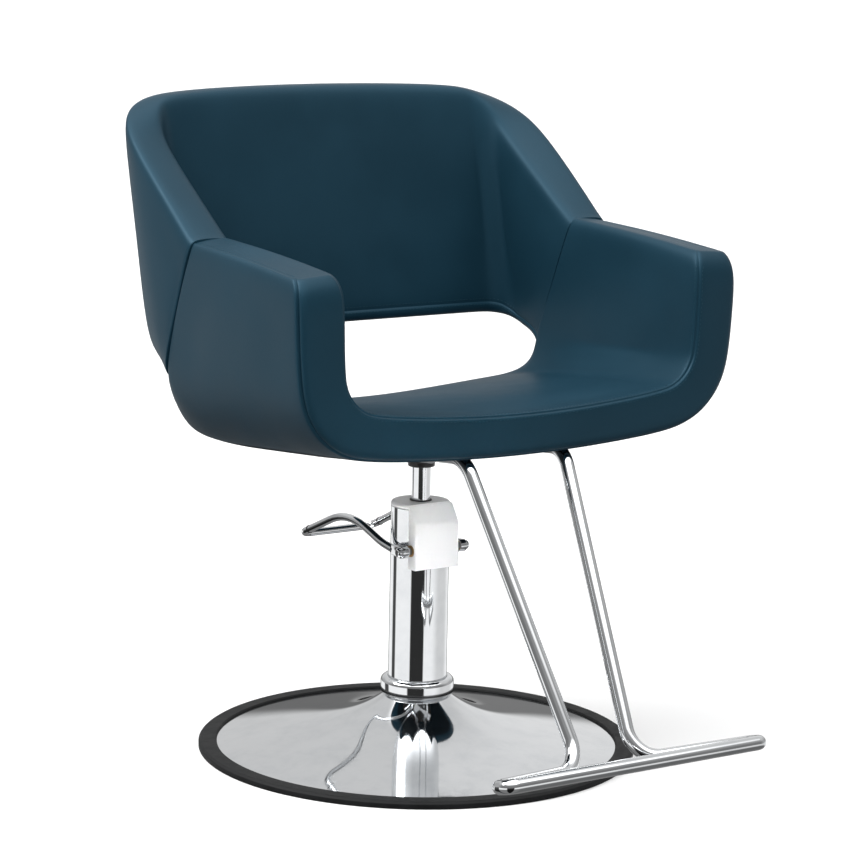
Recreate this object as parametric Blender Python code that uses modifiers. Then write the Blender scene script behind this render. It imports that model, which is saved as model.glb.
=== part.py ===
"""Salon styling chair: an upholstered bucket seat that swivels and rises on a hydraulic pump column.

Metres, +Z up. The origin is on the column axis at floor level, and the sitter faces -Y.
"""

from math import atan, cos, pi, radians, sin, sqrt

import bmesh
import bpy
from mathutils import Matrix, Vector

# Clearance between pieces that touch or run in each other
GAP = 0.0003

# Floor base
BASE_RADIUS = 0.300
TRIM_WIDTH = 0.025
TRIM_HEIGHT = 0.010
TRIM_ROUND = 0.003
TRIM_LEDGE_WIDTH = 0.010
TRIM_LEDGE_HEIGHT = 0.0045
DOME_WALL = 0.0025
DOME_PEAK = 0.080
DOME_CONE_RISE = 0.045
DOME_FLARE = 6.0
FLOOR_PLATE_THICKNESS = 0.005
FLANGE_RADIUS = 0.075
FLANGE_THICKNESS = 0.010
FLANGE_BOLT_CIRCLE_RADIUS = 0.055
FLANGE_BOLT_HEAD_RADIUS = 0.007
FLANGE_BOLT_HEAD_HEIGHT = 0.006
FLANGE_BOLT_SHANK_RADIUS = 0.004
FLANGE_BOLT_BITE = 0.004

# Pump column
COLUMN_RADIUS = 0.0405
COLUMN_WALL = 0.003
COLUMN_TOP = 0.339
FOOT_RING_WIDTH = 0.010
FOOT_RING_TOP = 0.100
FOOT_RING_CROWN_ROUND = 0.0075
FOOT_RING_HEEL_ROUND = 0.004
CAP_THICKNESS = 0.006
CAP_CHAMFER = 0.003
SEAL_WIDTH = 0.002
SEAL_HEIGHT = 0.0015
PRESSURE_TUBE_WALL = 0.0025
PUMP_BODY_BOTTOM = 0.232

# Piston and rod
ROD_RADIUS = 0.013
ROD_STUB_RADIUS = 0.006
ROD_STUB_LENGTH = 0.0265
PISTON_BOTTOM = 0.034
PISTON_HEIGHT = 0.020
PISTON_SEAL_HEIGHT = 0.003
PISTON_NUT_HEIGHT = 0.005
PISTON_NUT_WALL = 0.004
PISTON_CLEARANCE = 0.0004

# Pedal mechanism, on a cross shaft in front of the rod
PIVOT_Y = -0.0305
PIVOT_Z = 0.2835
SHAFT_RADIUS = 0.005
BUSH_WALL = 0.0025
BUSH_SETBACK = 0.002
BUSH_STAND_OUT = 0.0015
HUB_RADIUS = 0.0085
HUB_REACH = 0.0225
HUB_HALF_HEIGHT = 0.0068
HUB_WIDTH = 0.011
HUB_OFFSET = 0.047
PEDAL_BOLT_HEAD = 0.005
PEDAL_BOLT_RADIUS = 0.0065
PEDAL_BOLT_SHANK_RADIUS = 0.0027
PEDAL_BOLT_SHANK_LENGTH = 0.010
PEDAL_BOLT_END_CLEARANCE = 0.001
CAM_RADIUS = 0.0078
CAM_NOSE_RADIUS = 0.004
CAM_THROW = 0.0105
CAM_WIDTH = 0.014
CAM_SIDE_CLEARANCE = 0.0015
CAM_POCKET_CLEARANCE = 0.001
PLUNGER_RADIUS = 0.0035
PLUNGER_LENGTH = 0.0262
PLUNGER_LASH = 0.0008
SPRING_LENGTH = 0.015
SPRING_TURNS = 6
SPRING_WIRE_RADIUS = 0.0006
SPRING_SIDE_CLEARANCE = 0.0003
PEDAL_ROD_RADIUS = 0.0055
PEDAL_REACH = 0.246
PEDAL_DROP = 0.020
PEDAL_HUMP_REACH = 0.130
PEDAL_HUMP_RISE = 0.0332
PEDAL_KNEE_REACH = 0.050
PEDAL_KNEE_RISE = 0.0045
PEDAL_SPREAD = 0.013
PEDAL_CORNER_RADIUS = 0.018
PEDAL_BEND_RADIUS = 0.110

# Mechanism cover
COVER_HALF_WIDTH = 0.035
COVER_BACK = -0.0242
COVER_FRONT_LOW = -0.0447
COVER_FRONT_HIGH = -0.0427
COVER_BROW = -0.0255
COVER_BOTTOM = 0.258
COVER_SHOULDER = 0.321
COVER_TOP = 0.344
COVER_WALL = 0.002
COVER_ROUND = 0.003

# Seat carrier
SEAT_UNDERSIDE_Z = 0.4355
SEAT_TILT = 0.0987
SEAT_PLATE_HALF_WIDTH = 0.062
SEAT_PLATE_HALF_LENGTH = 0.078
SEAT_PLATE_THICKNESS = 0.006
SEAT_HUB_DROP = 0.0425
SEAT_HUB_RADIUS = 0.0185
SEAT_HUB_TOP_RADIUS = 0.032
SEAT_HUB_SOCKET = 0.018
SEAT_HUB_NECK = 0.006
SEAT_HUB_FLARE = 0.0065
SEAT_HUB_CHAMFER = 0.001
PLATE_BOLT_HEAD_RADIUS = 0.007
PLATE_BOLT_HEAD_HEIGHT = 0.005
PLATE_BOLT_SHANK_RADIUS = 0.004
PLATE_BOLT_BITE = 0.008
PLATE_BOLT_X = 0.046
PLATE_BOLT_Y = 0.060
BOARD_HALF_WIDTH = 0.115
BOARD_FRONT = -0.165
BOARD_BACK = 0.080
BOARD_THICKNESS = 0.012

# Footrest, one bent tube
TUBE_RADIUS = 0.0095
FOOTREST_HALF_SPREAD = 0.0785
FOOTREST_TAIL = 0.065
FOOTREST_KNEE_Y = -0.217
FOOTREST_HEEL_X = 0.041
FOOTREST_HEEL_Y = -0.4357
FOOTREST_HEEL_Z = 0.083
FOOTREST_BAR_Y = -0.5005
FOOTREST_BAR_SPACING = 0.024
FOOTREST_RETURN_SHARE = 0.43
FOOTREST_TOE_RISE = 0.28
FOOTREST_HALF_LENGTH = 0.207
FOOTREST_BEND_RADIUS = 0.040
SADDLE_WALL = 0.0025
SADDLE_LENGTH = 0.030
SADDLE_FLANGE = 0.016
SADDLE_Y = -0.125
SADDLE_SCREW_HEAD_RADIUS = 0.004
SADDLE_SCREW_HEAD_HEIGHT = 0.0025
SADDLE_SCREW_SHANK_RADIUS = 0.002
SADDLE_SCREW_BITE = 0.008
PLUG_THICKNESS = 0.003
CHANNEL_CLEARANCE = 0.0015

# Upholstered band of seat and arms: its front outlines are a crowned floor, corner arcs and walls
FRONT_Y = -0.243
OUTER_FLOOR_Z = 0.4462
OUTER_CROWN = 0.215
OUTER_CORNER_RADIUS = 0.107
OUTER_CORNER_HALF_WIDTH = 0.342
OUTER_HALF_WIDTH = 0.347
INNER_FLOOR_Z = 0.505
INNER_CROWN = 0.289
INNER_CORNER_RADIUS = 0.054
INNER_CORNER_HALF_WIDTH = 0.2725
INNER_HALF_WIDTH = 0.275
ARM_TOP_Z = 0.695
ARM_RISE = 0.063
ARM_OUTER_TAPER = 0.094
ARM_INNER_TAPER = 0.030
ARM_BOW = 0.005
SEAT_TOP_TILT = 0.100
SEAT_CROWN = 0.006
EDGE_ROUND = 0.008
SEAT_LIP_Y = 0.205
SLOT_END_INNER_Y = 0.100
SLOT_END_OUTER_Y = 0.165
SLOT_END_ROUND = 0.080
SEAT_HEEL_ROUND = 0.115

# Upholstered wrap-round back
SEAM_TOP_Y = 0.045
SEAM_TOP_Z = 0.713
SEAM_LEAN = 0.414
SEAM_GAP = 0.0008
BACK_OUTER_HALF_WIDTH = 0.3395
BACK_FLARE = 0.011
BACK_INNER_HALF_WIDTH = 0.2725
BACK_OUTER_CORNER_RADIUS = 0.110
BACK_INNER_CORNER_RADIUS = 0.035
BACK_LOW_Z = 0.561
BACK_INNER_Y = 0.200
BACK_THICKNESS_Y = 0.048
BACK_RECLINE = 0.265
BACK_BOW = 0.018
BACK_TOP_Z = 0.8895
BACK_SHOULDER_Z = 0.8835
BACK_WING_Z = 0.825
BACK_LOW_END_DROP = 0.042
BACK_LOW_ROUND = 0.015

# Facets
COLUMN_SIDES = 36
DOME_SIDES = 48
HUB_SIDES = 28
SMALL_SIDES = 16
SCREW_SIDES = 10

SIDE_VIEW = (pi / 2, 0.0, pi / 2)
ALONG_X = (0.0, pi / 2, 0.0)
ALONG_Y = (pi / 2, 0.0, 0.0)


# Scene helpers

def clear_scene():
    for obj in list(bpy.data.objects):
        bpy.data.objects.remove(obj, do_unlink=True)


def new_collection(name):
    made = bpy.data.collections.new(name)
    bpy.context.scene.collection.children.link(made)
    return made


def new_material(name, colour, roughness, metallic):
    made = bpy.data.materials.new(name)
    made.use_nodes = True
    shader = made.node_tree.nodes["Principled BSDF"]
    shader.inputs["Base Color"].default_value = (*colour, 1.0)
    shader.inputs["Roughness"].default_value = roughness
    shader.inputs["Metallic"].default_value = metallic
    return made


clear_scene()
PARTS = new_collection("salon_chair")
CUTTERS = new_collection("salon_chair_cutters")
MATERIALS = {
    "upholstery": new_material("upholstery", (0.035, 0.085, 0.125), 0.45, 0.0),
    "chrome": new_material("chrome", (0.80, 0.80, 0.82), 0.06, 1.0),
    "silver_paint": new_material("silver_paint", (0.82, 0.83, 0.84), 0.3, 0.0),
    "steel": new_material("steel", (0.55, 0.55, 0.57), 0.35, 1.0),
    "black_paint": new_material("black_paint", (0.02, 0.02, 0.02), 0.45, 0.0),
    "rubber": new_material("rubber", (0.025, 0.025, 0.028), 0.7, 0.0),
    "bronze": new_material("bronze", (0.55, 0.38, 0.18), 0.4, 1.0),
    "cast_iron": new_material("cast_iron", (0.22, 0.22, 0.23), 0.6, 0.8),
    "plywood": new_material("plywood", (0.60, 0.43, 0.26), 0.7, 0.0),
    "black_plastic": new_material("black_plastic", (0.03, 0.03, 0.03), 0.5, 0.0),
}


def empty(name, location=(0, 0, 0), rotation=(0, 0, 0), parent=None):
    made = bpy.data.objects.new(name, None)
    PARTS.objects.link(made)
    made.parent = parent
    made.location = location
    made.rotation_euler = rotation
    return made


def add_part(name, data, finish, parent=None, location=(0, 0, 0), rotation=(0, 0, 0)):
    data.materials.append(MATERIALS[finish])
    made = bpy.data.objects.new(name, data)
    PARTS.objects.link(made)
    made.parent = parent
    made.location = location
    made.rotation_euler = rotation
    return made


def add_cutter(name, data, parent=None, location=(0, 0, 0), rotation=(0, 0, 0)):
    made = bpy.data.objects.new(name, data)
    CUTTERS.objects.link(made)
    made.parent = parent
    made.location = location
    made.rotation_euler = rotation
    made.hide_render = True
    made.display_type = "WIRE"
    return made


def boolean(obj, other, operation="DIFFERENCE"):
    step = obj.modifiers.new(other.name, "BOOLEAN")
    step.object = other
    step.operation = operation
    step.solver = "EXACT"
    return obj


def smooth(mesh, angle=40.0):
    mesh.shade_smooth()
    mesh.set_sharp_from_angle(angle=radians(angle))
    return mesh


# Mesh makers

def box_mesh(name, low, high):
    bm = bmesh.new()
    bmesh.ops.create_cube(bm, size=1.0)
    size = Vector(high) - Vector(low)
    bmesh.ops.scale(bm, vec=size, verts=bm.verts)
    bmesh.ops.translate(bm, vec=Vector(low) + size / 2, verts=bm.verts)
    mesh = bpy.data.meshes.new(name)
    bm.to_mesh(mesh)
    bm.free()
    return mesh


def rods_mesh(name, centres, radius, length, sides=SMALL_SIDES):
    """Upright cylinders in one mesh, each centred on a point."""
    bm = bmesh.new()
    for centre in centres:
        bmesh.ops.create_cone(
            bm, cap_ends=True, segments=sides, radius1=radius, radius2=radius, depth=length,
            matrix=Matrix.Translation(centre),
        )
    mesh = bpy.data.meshes.new(name)
    bm.to_mesh(mesh)
    bm.free()
    return smooth(mesh)


def turned(name, profile, finish, sides=SMALL_SIDES, ring=False, **place):
    """A profile of (radius, height) points, down its outer side, spun about the local Z axis."""
    bm = bmesh.new()
    points = [bm.verts.new((radius, 0.0, height)) for radius, height in profile]
    for first, second in zip(points, points[1:]):
        bm.edges.new((first, second))
    if ring:
        bm.edges.new((points[-1], points[0]))
    mesh = bpy.data.meshes.new(name)
    bm.to_mesh(mesh)
    bm.free()
    made = add_part(name, mesh, finish, **place)
    spin = made.modifiers.new("spin", "SCREW")
    spin.angle = 2 * pi
    spin.steps = sides
    spin.render_steps = sides
    spin.use_merge_vertices = True
    spin.merge_threshold = 0.00001
    return made


def ring_profile(outer, inner, bottom, top):
    return [(outer, top), (outer, bottom), (inner, bottom), (inner, top)]


def disc_profile(radius, bottom, top):
    return [(0.0, top), (radius, top), (radius, bottom), (0.0, bottom)]


def screw_profile(head_radius, head_height, shank_radius, shank_length):
    """A round-headed screw with its head below z = 0 and its shank above."""
    return [
        (0.0, shank_length),
        (shank_radius, shank_length),
        (shank_radius, 0.0),
        (head_radius, 0.0),
        (head_radius, -0.7 * head_height),
        (0.8 * head_radius, -head_height),
        (0.0, -head_height),
    ]


def evaluated_mesh(obj, name):
    """The mesh that a curve object shows, with its caps welded on."""
    bpy.context.view_layer.update()
    shown = obj.evaluated_get(bpy.context.evaluated_depsgraph_get())
    mesh = bpy.data.meshes.new_from_object(shown)
    mesh.name = name
    bm = bmesh.new()
    bm.from_mesh(mesh)
    bmesh.ops.remove_doubles(bm, verts=bm.verts, dist=0.000001)
    bm.to_mesh(mesh)
    bm.free()
    curve = obj.data
    bpy.data.objects.remove(obj)
    bpy.data.curves.remove(curve)
    return mesh


def plate_mesh(name, outlines, thickness):
    """Flat outlines (the outer one first, then holes) given a thickness about their plane."""
    curve = bpy.data.curves.new(name, "CURVE")
    curve.dimensions = "2D"
    curve.fill_mode = "BOTH"
    curve.extrude = thickness / 2
    for outline in outlines:
        spline = curve.splines.new("POLY")
        spline.points.add(len(outline) - 1)
        for point, (x, y) in zip(spline.points, outline):
            point.co = (x, y, 0.0, 1.0)
        spline.use_cyclic_u = True
    holder = bpy.data.objects.new(name, curve)
    PARTS.objects.link(holder)
    return evaluated_mesh(holder, name)


def arc(centre, radius, start, end, count):
    """Points of a flat arc from one angle to another, in degrees."""
    turns = [radians(start + (end - start) * i / (count - 1)) for i in range(count)]
    return [(centre[0] + radius * cos(t), centre[1] + radius * sin(t)) for t in turns]


def rounded_path(corners, radii, degrees_per_step=15.0):
    """A path of straight runs whose corners are rounded by tangent arcs."""
    points = [Vector(corners[0])]
    for before, corner, after, radius in zip(corners, corners[1:], corners[2:], radii):
        corner = Vector(corner)
        arriving = (corner - Vector(before)).normalized()
        leaving = (Vector(after) - corner).normalized()
        turn = arriving.angle(leaving)
        centre_way = (leaving - arriving).normalized()
        centre = corner + centre_way * (radius / cos(turn / 2))
        start = corner - arriving * (radius * sin(turn / 2) / cos(turn / 2)) - centre
        axis = arriving.cross(leaving)
        steps = max(2, round(turn / radians(degrees_per_step)))
        for i in range(steps + 1):
            points.append(centre + Matrix.Rotation(turn * i / steps, 3, axis) @ start)
    points.append(Vector(corners[-1]))
    return points


def tube(name, points, radius, finish, resolution=3, **place):
    curve = bpy.data.curves.new(name, "CURVE")
    curve.dimensions = "3D"
    curve.bevel_depth = radius
    curve.bevel_resolution = resolution
    curve.use_fill_caps = True
    spline = curve.splines.new("POLY")
    spline.points.add(len(points) - 1)
    for point, place_at in zip(spline.points, points):
        point.co = (*place_at, 1.0)
    spline.use_smooth = True
    return add_part(name, curve, finish, **place)


def mirrored_corners(half):
    """The corners of half a path, carried on through its mirror image across x = 0."""
    return half + [(-x, y, z) for x, y, z in reversed(half)]


# Floor base

RIM_RADIUS = BASE_RADIUS - TRIM_WIDTH - GAP
RIM_TOP = TRIM_LEDGE_HEIGHT + GAP + DOME_WALL
DOME_HOLE = COLUMN_RADIUS + GAP
FLANGE_BOTTOM = FLOOR_PLATE_THICKNESS + GAP
FLANGE_TOP = FLANGE_BOTTOM + FLANGE_THICKNESS
COLUMN_BOTTOM = FLANGE_TOP + GAP


def dome_height(radius):
    inward = (RIM_RADIUS - radius) / (RIM_RADIUS - DOME_HOLE)
    flare = DOME_PEAK - RIM_TOP - DOME_CONE_RISE
    return RIM_TOP + DOME_CONE_RISE * inward + flare * inward ** DOME_FLARE


def make_base_plate():
    shares = (0.0, 0.05, 0.12, 0.22, 0.35, 0.5, 0.75, 1.0)
    radii = [mix(DOME_HOLE, RIM_RADIUS, share) for share in shares]
    top_side = [(radius, dome_height(radius)) for radius in radii]
    under_side = [(radius, height - DOME_WALL) for radius, height in reversed(top_side)]
    turned("base_plate", top_side + under_side, "chrome", DOME_SIDES, ring=True)


def make_base_trim_ring():
    lip = BASE_RADIUS - TRIM_WIDTH
    ledge = lip - TRIM_LEDGE_WIDTH
    profile = [
        (lip, RIM_TOP + GAP),
        (lip + TRIM_ROUND, TRIM_HEIGHT),
        (BASE_RADIUS - TRIM_ROUND, TRIM_HEIGHT),
        (BASE_RADIUS, TRIM_HEIGHT - TRIM_ROUND),
        (BASE_RADIUS, TRIM_ROUND / 2),
        (BASE_RADIUS - TRIM_ROUND / 2, 0.0),
        (ledge, 0.0),
        (ledge, TRIM_LEDGE_HEIGHT),
        (lip, TRIM_LEDGE_HEIGHT),
    ]
    turned("base_trim_ring", profile, "rubber", DOME_SIDES, ring=True)


def flange_bolt_places():
    angles = [radians(45 + 90 * i) for i in range(4)]
    return [(FLANGE_BOLT_CIRCLE_RADIUS * cos(a), FLANGE_BOLT_CIRCLE_RADIUS * sin(a)) for a in angles]


def make_floor_plate_and_flange():
    edge = BASE_RADIUS - TRIM_WIDTH - TRIM_LEDGE_WIDTH - GAP
    plate = turned("floor_plate", disc_profile(edge, 0.0, FLOOR_PLATE_THICKNESS), "steel", DOME_SIDES)
    foot = disc_profile(FLANGE_RADIUS, FLANGE_BOTTOM, FLANGE_TOP)
    flange = turned("pump_flange", foot, "steel", COLUMN_SIDES)
    places = [(x, y, FLANGE_BOTTOM) for x, y in flange_bolt_places()]
    depth = 4 * (FLANGE_THICKNESS + FLOOR_PLATE_THICKNESS)
    holes = rods_mesh("flange_holes", places, FLANGE_BOLT_SHANK_RADIUS + GAP, depth, SCREW_SIDES)
    drill = add_cutter("flange_holes", holes)
    boolean(plate, drill)
    boolean(flange, drill)
    shank = FLANGE_THICKNESS + FLANGE_BOLT_BITE
    profile = screw_profile(FLANGE_BOLT_HEAD_RADIUS, FLANGE_BOLT_HEAD_HEIGHT, FLANGE_BOLT_SHANK_RADIUS, shank)
    for i, (x, y) in enumerate(flange_bolt_places(), start=1):
        seat = (x, y, FLANGE_TOP + GAP)
        turned(f"flange_bolt_{i}", profile, "steel", SCREW_SIDES, location=seat, rotation=(pi, 0, 0))


# Pump column

ROD_BORE = ROD_RADIUS + GAP
COLUMN_BORE = COLUMN_RADIUS - COLUMN_WALL
CAP_TOP = COLUMN_TOP + GAP + CAP_THICKNESS
TUBE_BORE = ROD_RADIUS + 2 * PISTON_CLEARANCE + GAP
BUSH_RADIUS = SHAFT_RADIUS + GAP + BUSH_WALL


def front_window():
    """The block cut out of the column and cap for the mechanism behind the cover."""
    half = COVER_HALF_WIDTH + GAP
    low = (-half, COVER_FRONT_LOW - COLUMN_RADIUS, COVER_BOTTOM - GAP)
    high = (half, COVER_BACK + GAP, CAP_TOP + COVER_TOP)
    return add_cutter("front_window", box_mesh("front_window", low, high))


def shaft_hole_cutter():
    """The cross bore for the pedal shaft's bushes, through casting, column and cover."""
    hole = rods_mesh("shaft_hole", [(0, 0, 0)], BUSH_RADIUS + GAP, 4 * COVER_HALF_WIDTH)
    return add_cutter("shaft_hole", hole, location=(0, PIVOT_Y, PIVOT_Z), rotation=ALONG_X)


def make_column(window, shaft_hole):
    bore = COLUMN_RADIUS + GAP
    waist = COLUMN_RADIUS + FOOT_RING_WIDTH
    crown = (waist - FOOT_RING_CROWN_ROUND, FOOT_RING_TOP - FOOT_RING_CROWN_ROUND)
    heel_x = waist - FOOT_RING_HEEL_ROUND
    heel = (heel_x, dome_height(heel_x) + 2 * GAP + FOOT_RING_HEEL_ROUND)
    collar = [(bore, FOOT_RING_TOP)]
    collar += arc(crown, FOOT_RING_CROWN_ROUND, 90, 0, 6)
    collar += arc(heel, FOOT_RING_HEEL_ROUND, 0, -90, 4)
    collar += [(bore, DOME_PEAK + 2 * GAP)]
    turned("column_foot_ring", collar, "chrome", COLUMN_SIDES, ring=True)
    wall = ring_profile(COLUMN_RADIUS, COLUMN_BORE, COLUMN_BOTTOM, COLUMN_TOP)
    column = turned("pump_column", wall, "chrome", COLUMN_SIDES, ring=True)
    boolean(column, window)
    boolean(column, shaft_hole)
    cap = [
        (ROD_BORE, CAP_TOP),
        (COLUMN_RADIUS - CAP_CHAMFER, CAP_TOP),
        (COLUMN_RADIUS, CAP_TOP - CAP_CHAMFER),
        (COLUMN_RADIUS, COLUMN_TOP + GAP),
        (ROD_BORE, COLUMN_TOP + GAP),
    ]
    boolean(turned("top_cap", cap, "silver_paint", COLUMN_SIDES, ring=True), window)
    seal_bottom = CAP_TOP + GAP
    seal = [
        (ROD_BORE, seal_bottom + SEAL_HEIGHT),
        (ROD_BORE + SEAL_WIDTH / 2, seal_bottom + SEAL_HEIGHT),
        (ROD_BORE + SEAL_WIDTH, seal_bottom + SEAL_HEIGHT / 2),
        (ROD_BORE + SEAL_WIDTH, seal_bottom),
        (ROD_BORE, seal_bottom),
    ]
    turned("rod_wiper_seal", seal, "rubber", SMALL_SIDES, ring=True)
    cylinder = ring_profile(TUBE_BORE + PRESSURE_TUBE_WALL, TUBE_BORE, COLUMN_BOTTOM, PUMP_BODY_BOTTOM - GAP)
    turned("pressure_tube", cylinder, "steel", SMALL_SIDES, ring=True)


CAM_REACH = CAM_THROW + CAM_NOSE_RADIUS
PLUNGER_Y = PIVOT_Y + CAM_THROW
POCKET_HALF_WIDTH = CAM_WIDTH / 2 + CAM_SIDE_CLEARANCE
PLUNGER_TOP = PIVOT_Z - CAM_NOSE_RADIUS - PLUNGER_LASH
PLUNGER_BOTTOM = PLUNGER_TOP - PLUNGER_LENGTH
SPRING_FLOOR = PLUNGER_BOTTOM - GAP - SPRING_LENGTH


def make_pump_body(window, shaft_hole):
    core_radius = COLUMN_BORE - GAP
    core_top = COLUMN_TOP - GAP
    core_height = core_top - PUMP_BODY_BOTTOM
    core = disc_profile(core_radius, PUMP_BODY_BOTTOM, core_top)
    body = boolean(turned("pump_body", core, "cast_iron", COLUMN_SIDES), window)
    boss_half = 0.95 * sqrt(core_radius ** 2 - COVER_BACK ** 2)
    boss_front = COVER_FRONT_HIGH + COVER_WALL + GAP
    low = (-boss_half, boss_front, COVER_BOTTOM + COVER_WALL + GAP)
    high = (boss_half, COVER_BACK / 2, COVER_SHOULDER - COVER_WALL - GAP)
    boss = add_cutter("pump_boss", box_mesh("pump_boss", low, high))
    boolean(body, boss, "UNION")
    rod_hole = rods_mesh("rod_hole", [(0, 0, (core_top + PUMP_BODY_BOTTOM) / 2)], ROD_BORE, 2 * core_height)
    boolean(body, add_cutter("rod_hole", rod_hole))
    boolean(body, shaft_hole)
    pocket_low = (-POCKET_HALF_WIDTH, boss_front - CAM_REACH, PIVOT_Z - CAM_REACH - CAM_POCKET_CLEARANCE)
    pocket_back = PIVOT_Y + CAM_REACH + CAM_POCKET_CLEARANCE / 2
    pocket_high = (POCKET_HALF_WIDTH, pocket_back, PIVOT_Z + CAM_RADIUS + CAM_POCKET_CLEARANCE)
    boolean(body, add_cutter("cam_pocket", box_mesh("cam_pocket", pocket_low, pocket_high)))
    bore_top = PIVOT_Z
    bore_bottom = SPRING_FLOOR - GAP
    centre = (0, PLUNGER_Y, (bore_top + bore_bottom) / 2)
    plunger_hole = rods_mesh("plunger_hole", [centre], PLUNGER_RADIUS + GAP, bore_top - bore_bottom)
    boolean(body, add_cutter("plunger_hole", plunger_hole))


def make_mechanism_cover(shaft_hole):
    outline = [
        (COVER_BACK, COVER_BOTTOM),
        (COVER_BACK, COVER_TOP),
        (COVER_BROW, COVER_TOP),
        (COVER_FRONT_HIGH, COVER_SHOULDER),
        (COVER_FRONT_LOW, COVER_BOTTOM),
    ]
    hollow = [
        (-COVER_BACK, COVER_BOTTOM + COVER_WALL),
        (-COVER_BACK, COVER_TOP - COVER_WALL),
        (COVER_BROW + COVER_WALL / 2, COVER_TOP - COVER_WALL),
        (COVER_FRONT_HIGH + COVER_WALL, COVER_SHOULDER - COVER_WALL / 2),
        (COVER_FRONT_LOW + COVER_WALL, COVER_BOTTOM + COVER_WALL),
    ]
    block = plate_mesh("mechanism_cover", [outline], 2 * COVER_HALF_WIDTH)
    cover = add_part("mechanism_cover", block, "silver_paint", rotation=SIDE_VIEW)
    rounding = cover.modifiers.new("rounding", "BEVEL")
    rounding.width = COVER_ROUND
    rounding.segments = 2
    rounding.limit_method = "ANGLE"
    rounding.angle_limit = radians(15)
    inside = plate_mesh("cover_hollow", [hollow], 2 * (COVER_HALF_WIDTH - COVER_WALL))
    boolean(cover, add_cutter("cover_hollow", inside, rotation=SIDE_VIEW))
    boolean(cover, shaft_hole)


def make_bushes():
    inner_end = POCKET_HALF_WIDTH + BUSH_SETBACK
    outer_end = COVER_HALF_WIDTH + BUSH_STAND_OUT
    profile = ring_profile(BUSH_RADIUS, SHAFT_RADIUS + GAP, inner_end, outer_end)
    place = (0, PIVOT_Y, PIVOT_Z)
    for side, way in (("right", 1), ("left", -1)):
        outward = (0, way * pi / 2, 0)
        turned(f"shaft_bush_{side}", profile, "bronze", ring=True, location=place, rotation=outward)


# Pedal, modelled about its shaft

def make_pedal(pivot):
    shaft_end = HUB_OFFSET + HUB_WIDTH / 2
    socket = PEDAL_BOLT_SHANK_LENGTH + PEDAL_BOLT_END_CLEARANCE
    socket_radius = PEDAL_BOLT_SHANK_RADIUS + GAP
    shaft = [
        (0.0, shaft_end - socket),
        (socket_radius, shaft_end - socket),
        (socket_radius, shaft_end),
        (SHAFT_RADIUS, shaft_end),
        (SHAFT_RADIUS, -shaft_end),
        (socket_radius, -shaft_end),
        (socket_radius, socket - shaft_end),
        (0.0, socket - shaft_end),
    ]
    turned("pedal_shaft", shaft, "steel", parent=pivot, rotation=ALONG_X)
    keyhole = arc((0, 0), SHAFT_RADIUS + GAP, 0, 342, 20)
    lug = arc((0, 0), HUB_RADIUS, 96, 264, 13)
    lug += [(HUB_REACH, -HUB_HALF_HEIGHT), (HUB_REACH, HUB_HALF_HEIGHT)]
    bolt = screw_profile(PEDAL_BOLT_RADIUS, PEDAL_BOLT_HEAD, PEDAL_BOLT_SHANK_RADIUS, PEDAL_BOLT_SHANK_LENGTH)
    head_seat = shaft_end + GAP
    for side, way in (("right", 1), ("left", -1)):
        inward = (0, -way * pi / 2, 0)
        seat = (way * head_seat, 0, 0)
        middle = (way * HUB_OFFSET, 0, 0)
        name = f"pedal_hub_{side}"
        hub = smooth(plate_mesh(name, [lug, keyhole], HUB_WIDTH))
        add_part(name, hub, "chrome", parent=pivot, location=middle, rotation=SIDE_VIEW)
        turned(f"pedal_bolt_{side}", bolt, "chrome", parent=pivot, location=seat, rotation=inward)
    side_view = [
        (HUB_REACH + 4 * GAP, 0.0),
        (PEDAL_KNEE_REACH, PEDAL_KNEE_RISE),
        (PEDAL_HUMP_REACH, PEDAL_HUMP_RISE),
        (PEDAL_REACH, -PEDAL_DROP),
    ]
    half = [(HUB_OFFSET + PEDAL_SPREAD * reach / PEDAL_REACH, reach, rise) for reach, rise in side_view]
    bends = [PEDAL_BEND_RADIUS, PEDAL_BEND_RADIUS, PEDAL_CORNER_RADIUS]
    route = rounded_path(mirrored_corners(half), bends + bends[::-1])
    tube("pedal_lever", route, PEDAL_ROD_RADIUS, "chrome", 2, parent=pivot)
    lean = atan((CAM_RADIUS - CAM_NOSE_RADIUS) / CAM_THROW) * 180 / pi
    heel = arc((0, 0), CAM_RADIUS, 90 - lean, 270 + lean, 17)
    nose = arc((CAM_THROW, 0), CAM_NOSE_RADIUS, lean - 90, 90 - lean, 9)
    cam = smooth(plate_mesh("pump_cam", [heel + nose, keyhole], CAM_WIDTH))
    add_part("pump_cam", cam, "steel", parent=pivot, rotation=SIDE_VIEW)


def make_plunger():
    dome = [(0.0, 0.0)] + arc((0, -PLUNGER_RADIUS), PLUNGER_RADIUS, 72, 0, 5)
    profile = dome + [(PLUNGER_RADIUS, -PLUNGER_LENGTH), (0.0, -PLUNGER_LENGTH)]
    turned("pump_plunger", profile, "steel", location=(0, PLUNGER_Y, PLUNGER_TOP))
    steps = 8 * SPRING_TURNS
    coil_radius = PLUNGER_RADIUS - SPRING_WIRE_RADIUS - SPRING_SIDE_CLEARANCE
    rise = SPRING_LENGTH - 2 * SPRING_WIRE_RADIUS
    turns = [2 * pi * SPRING_TURNS * i / steps for i in range(steps + 1)]
    helix = [
        (coil_radius * cos(t), coil_radius * sin(t), SPRING_WIRE_RADIUS + rise * i / steps)
        for i, t in enumerate(turns)
    ]
    tube("plunger_spring", helix, SPRING_WIRE_RADIUS, "steel", 1, location=(0, PLUNGER_Y, SPRING_FLOOR))


# Piston and rod

SEAT_HUB_BOTTOM = SEAT_UNDERSIDE_Z - SEAT_HUB_DROP
ROD_TOP = SEAT_HUB_BOTTOM + SEAT_HUB_SOCKET - GAP
PISTON_TOP = PISTON_BOTTOM + PISTON_HEIGHT
STUB_BORE = ROD_STUB_RADIUS + GAP


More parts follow.
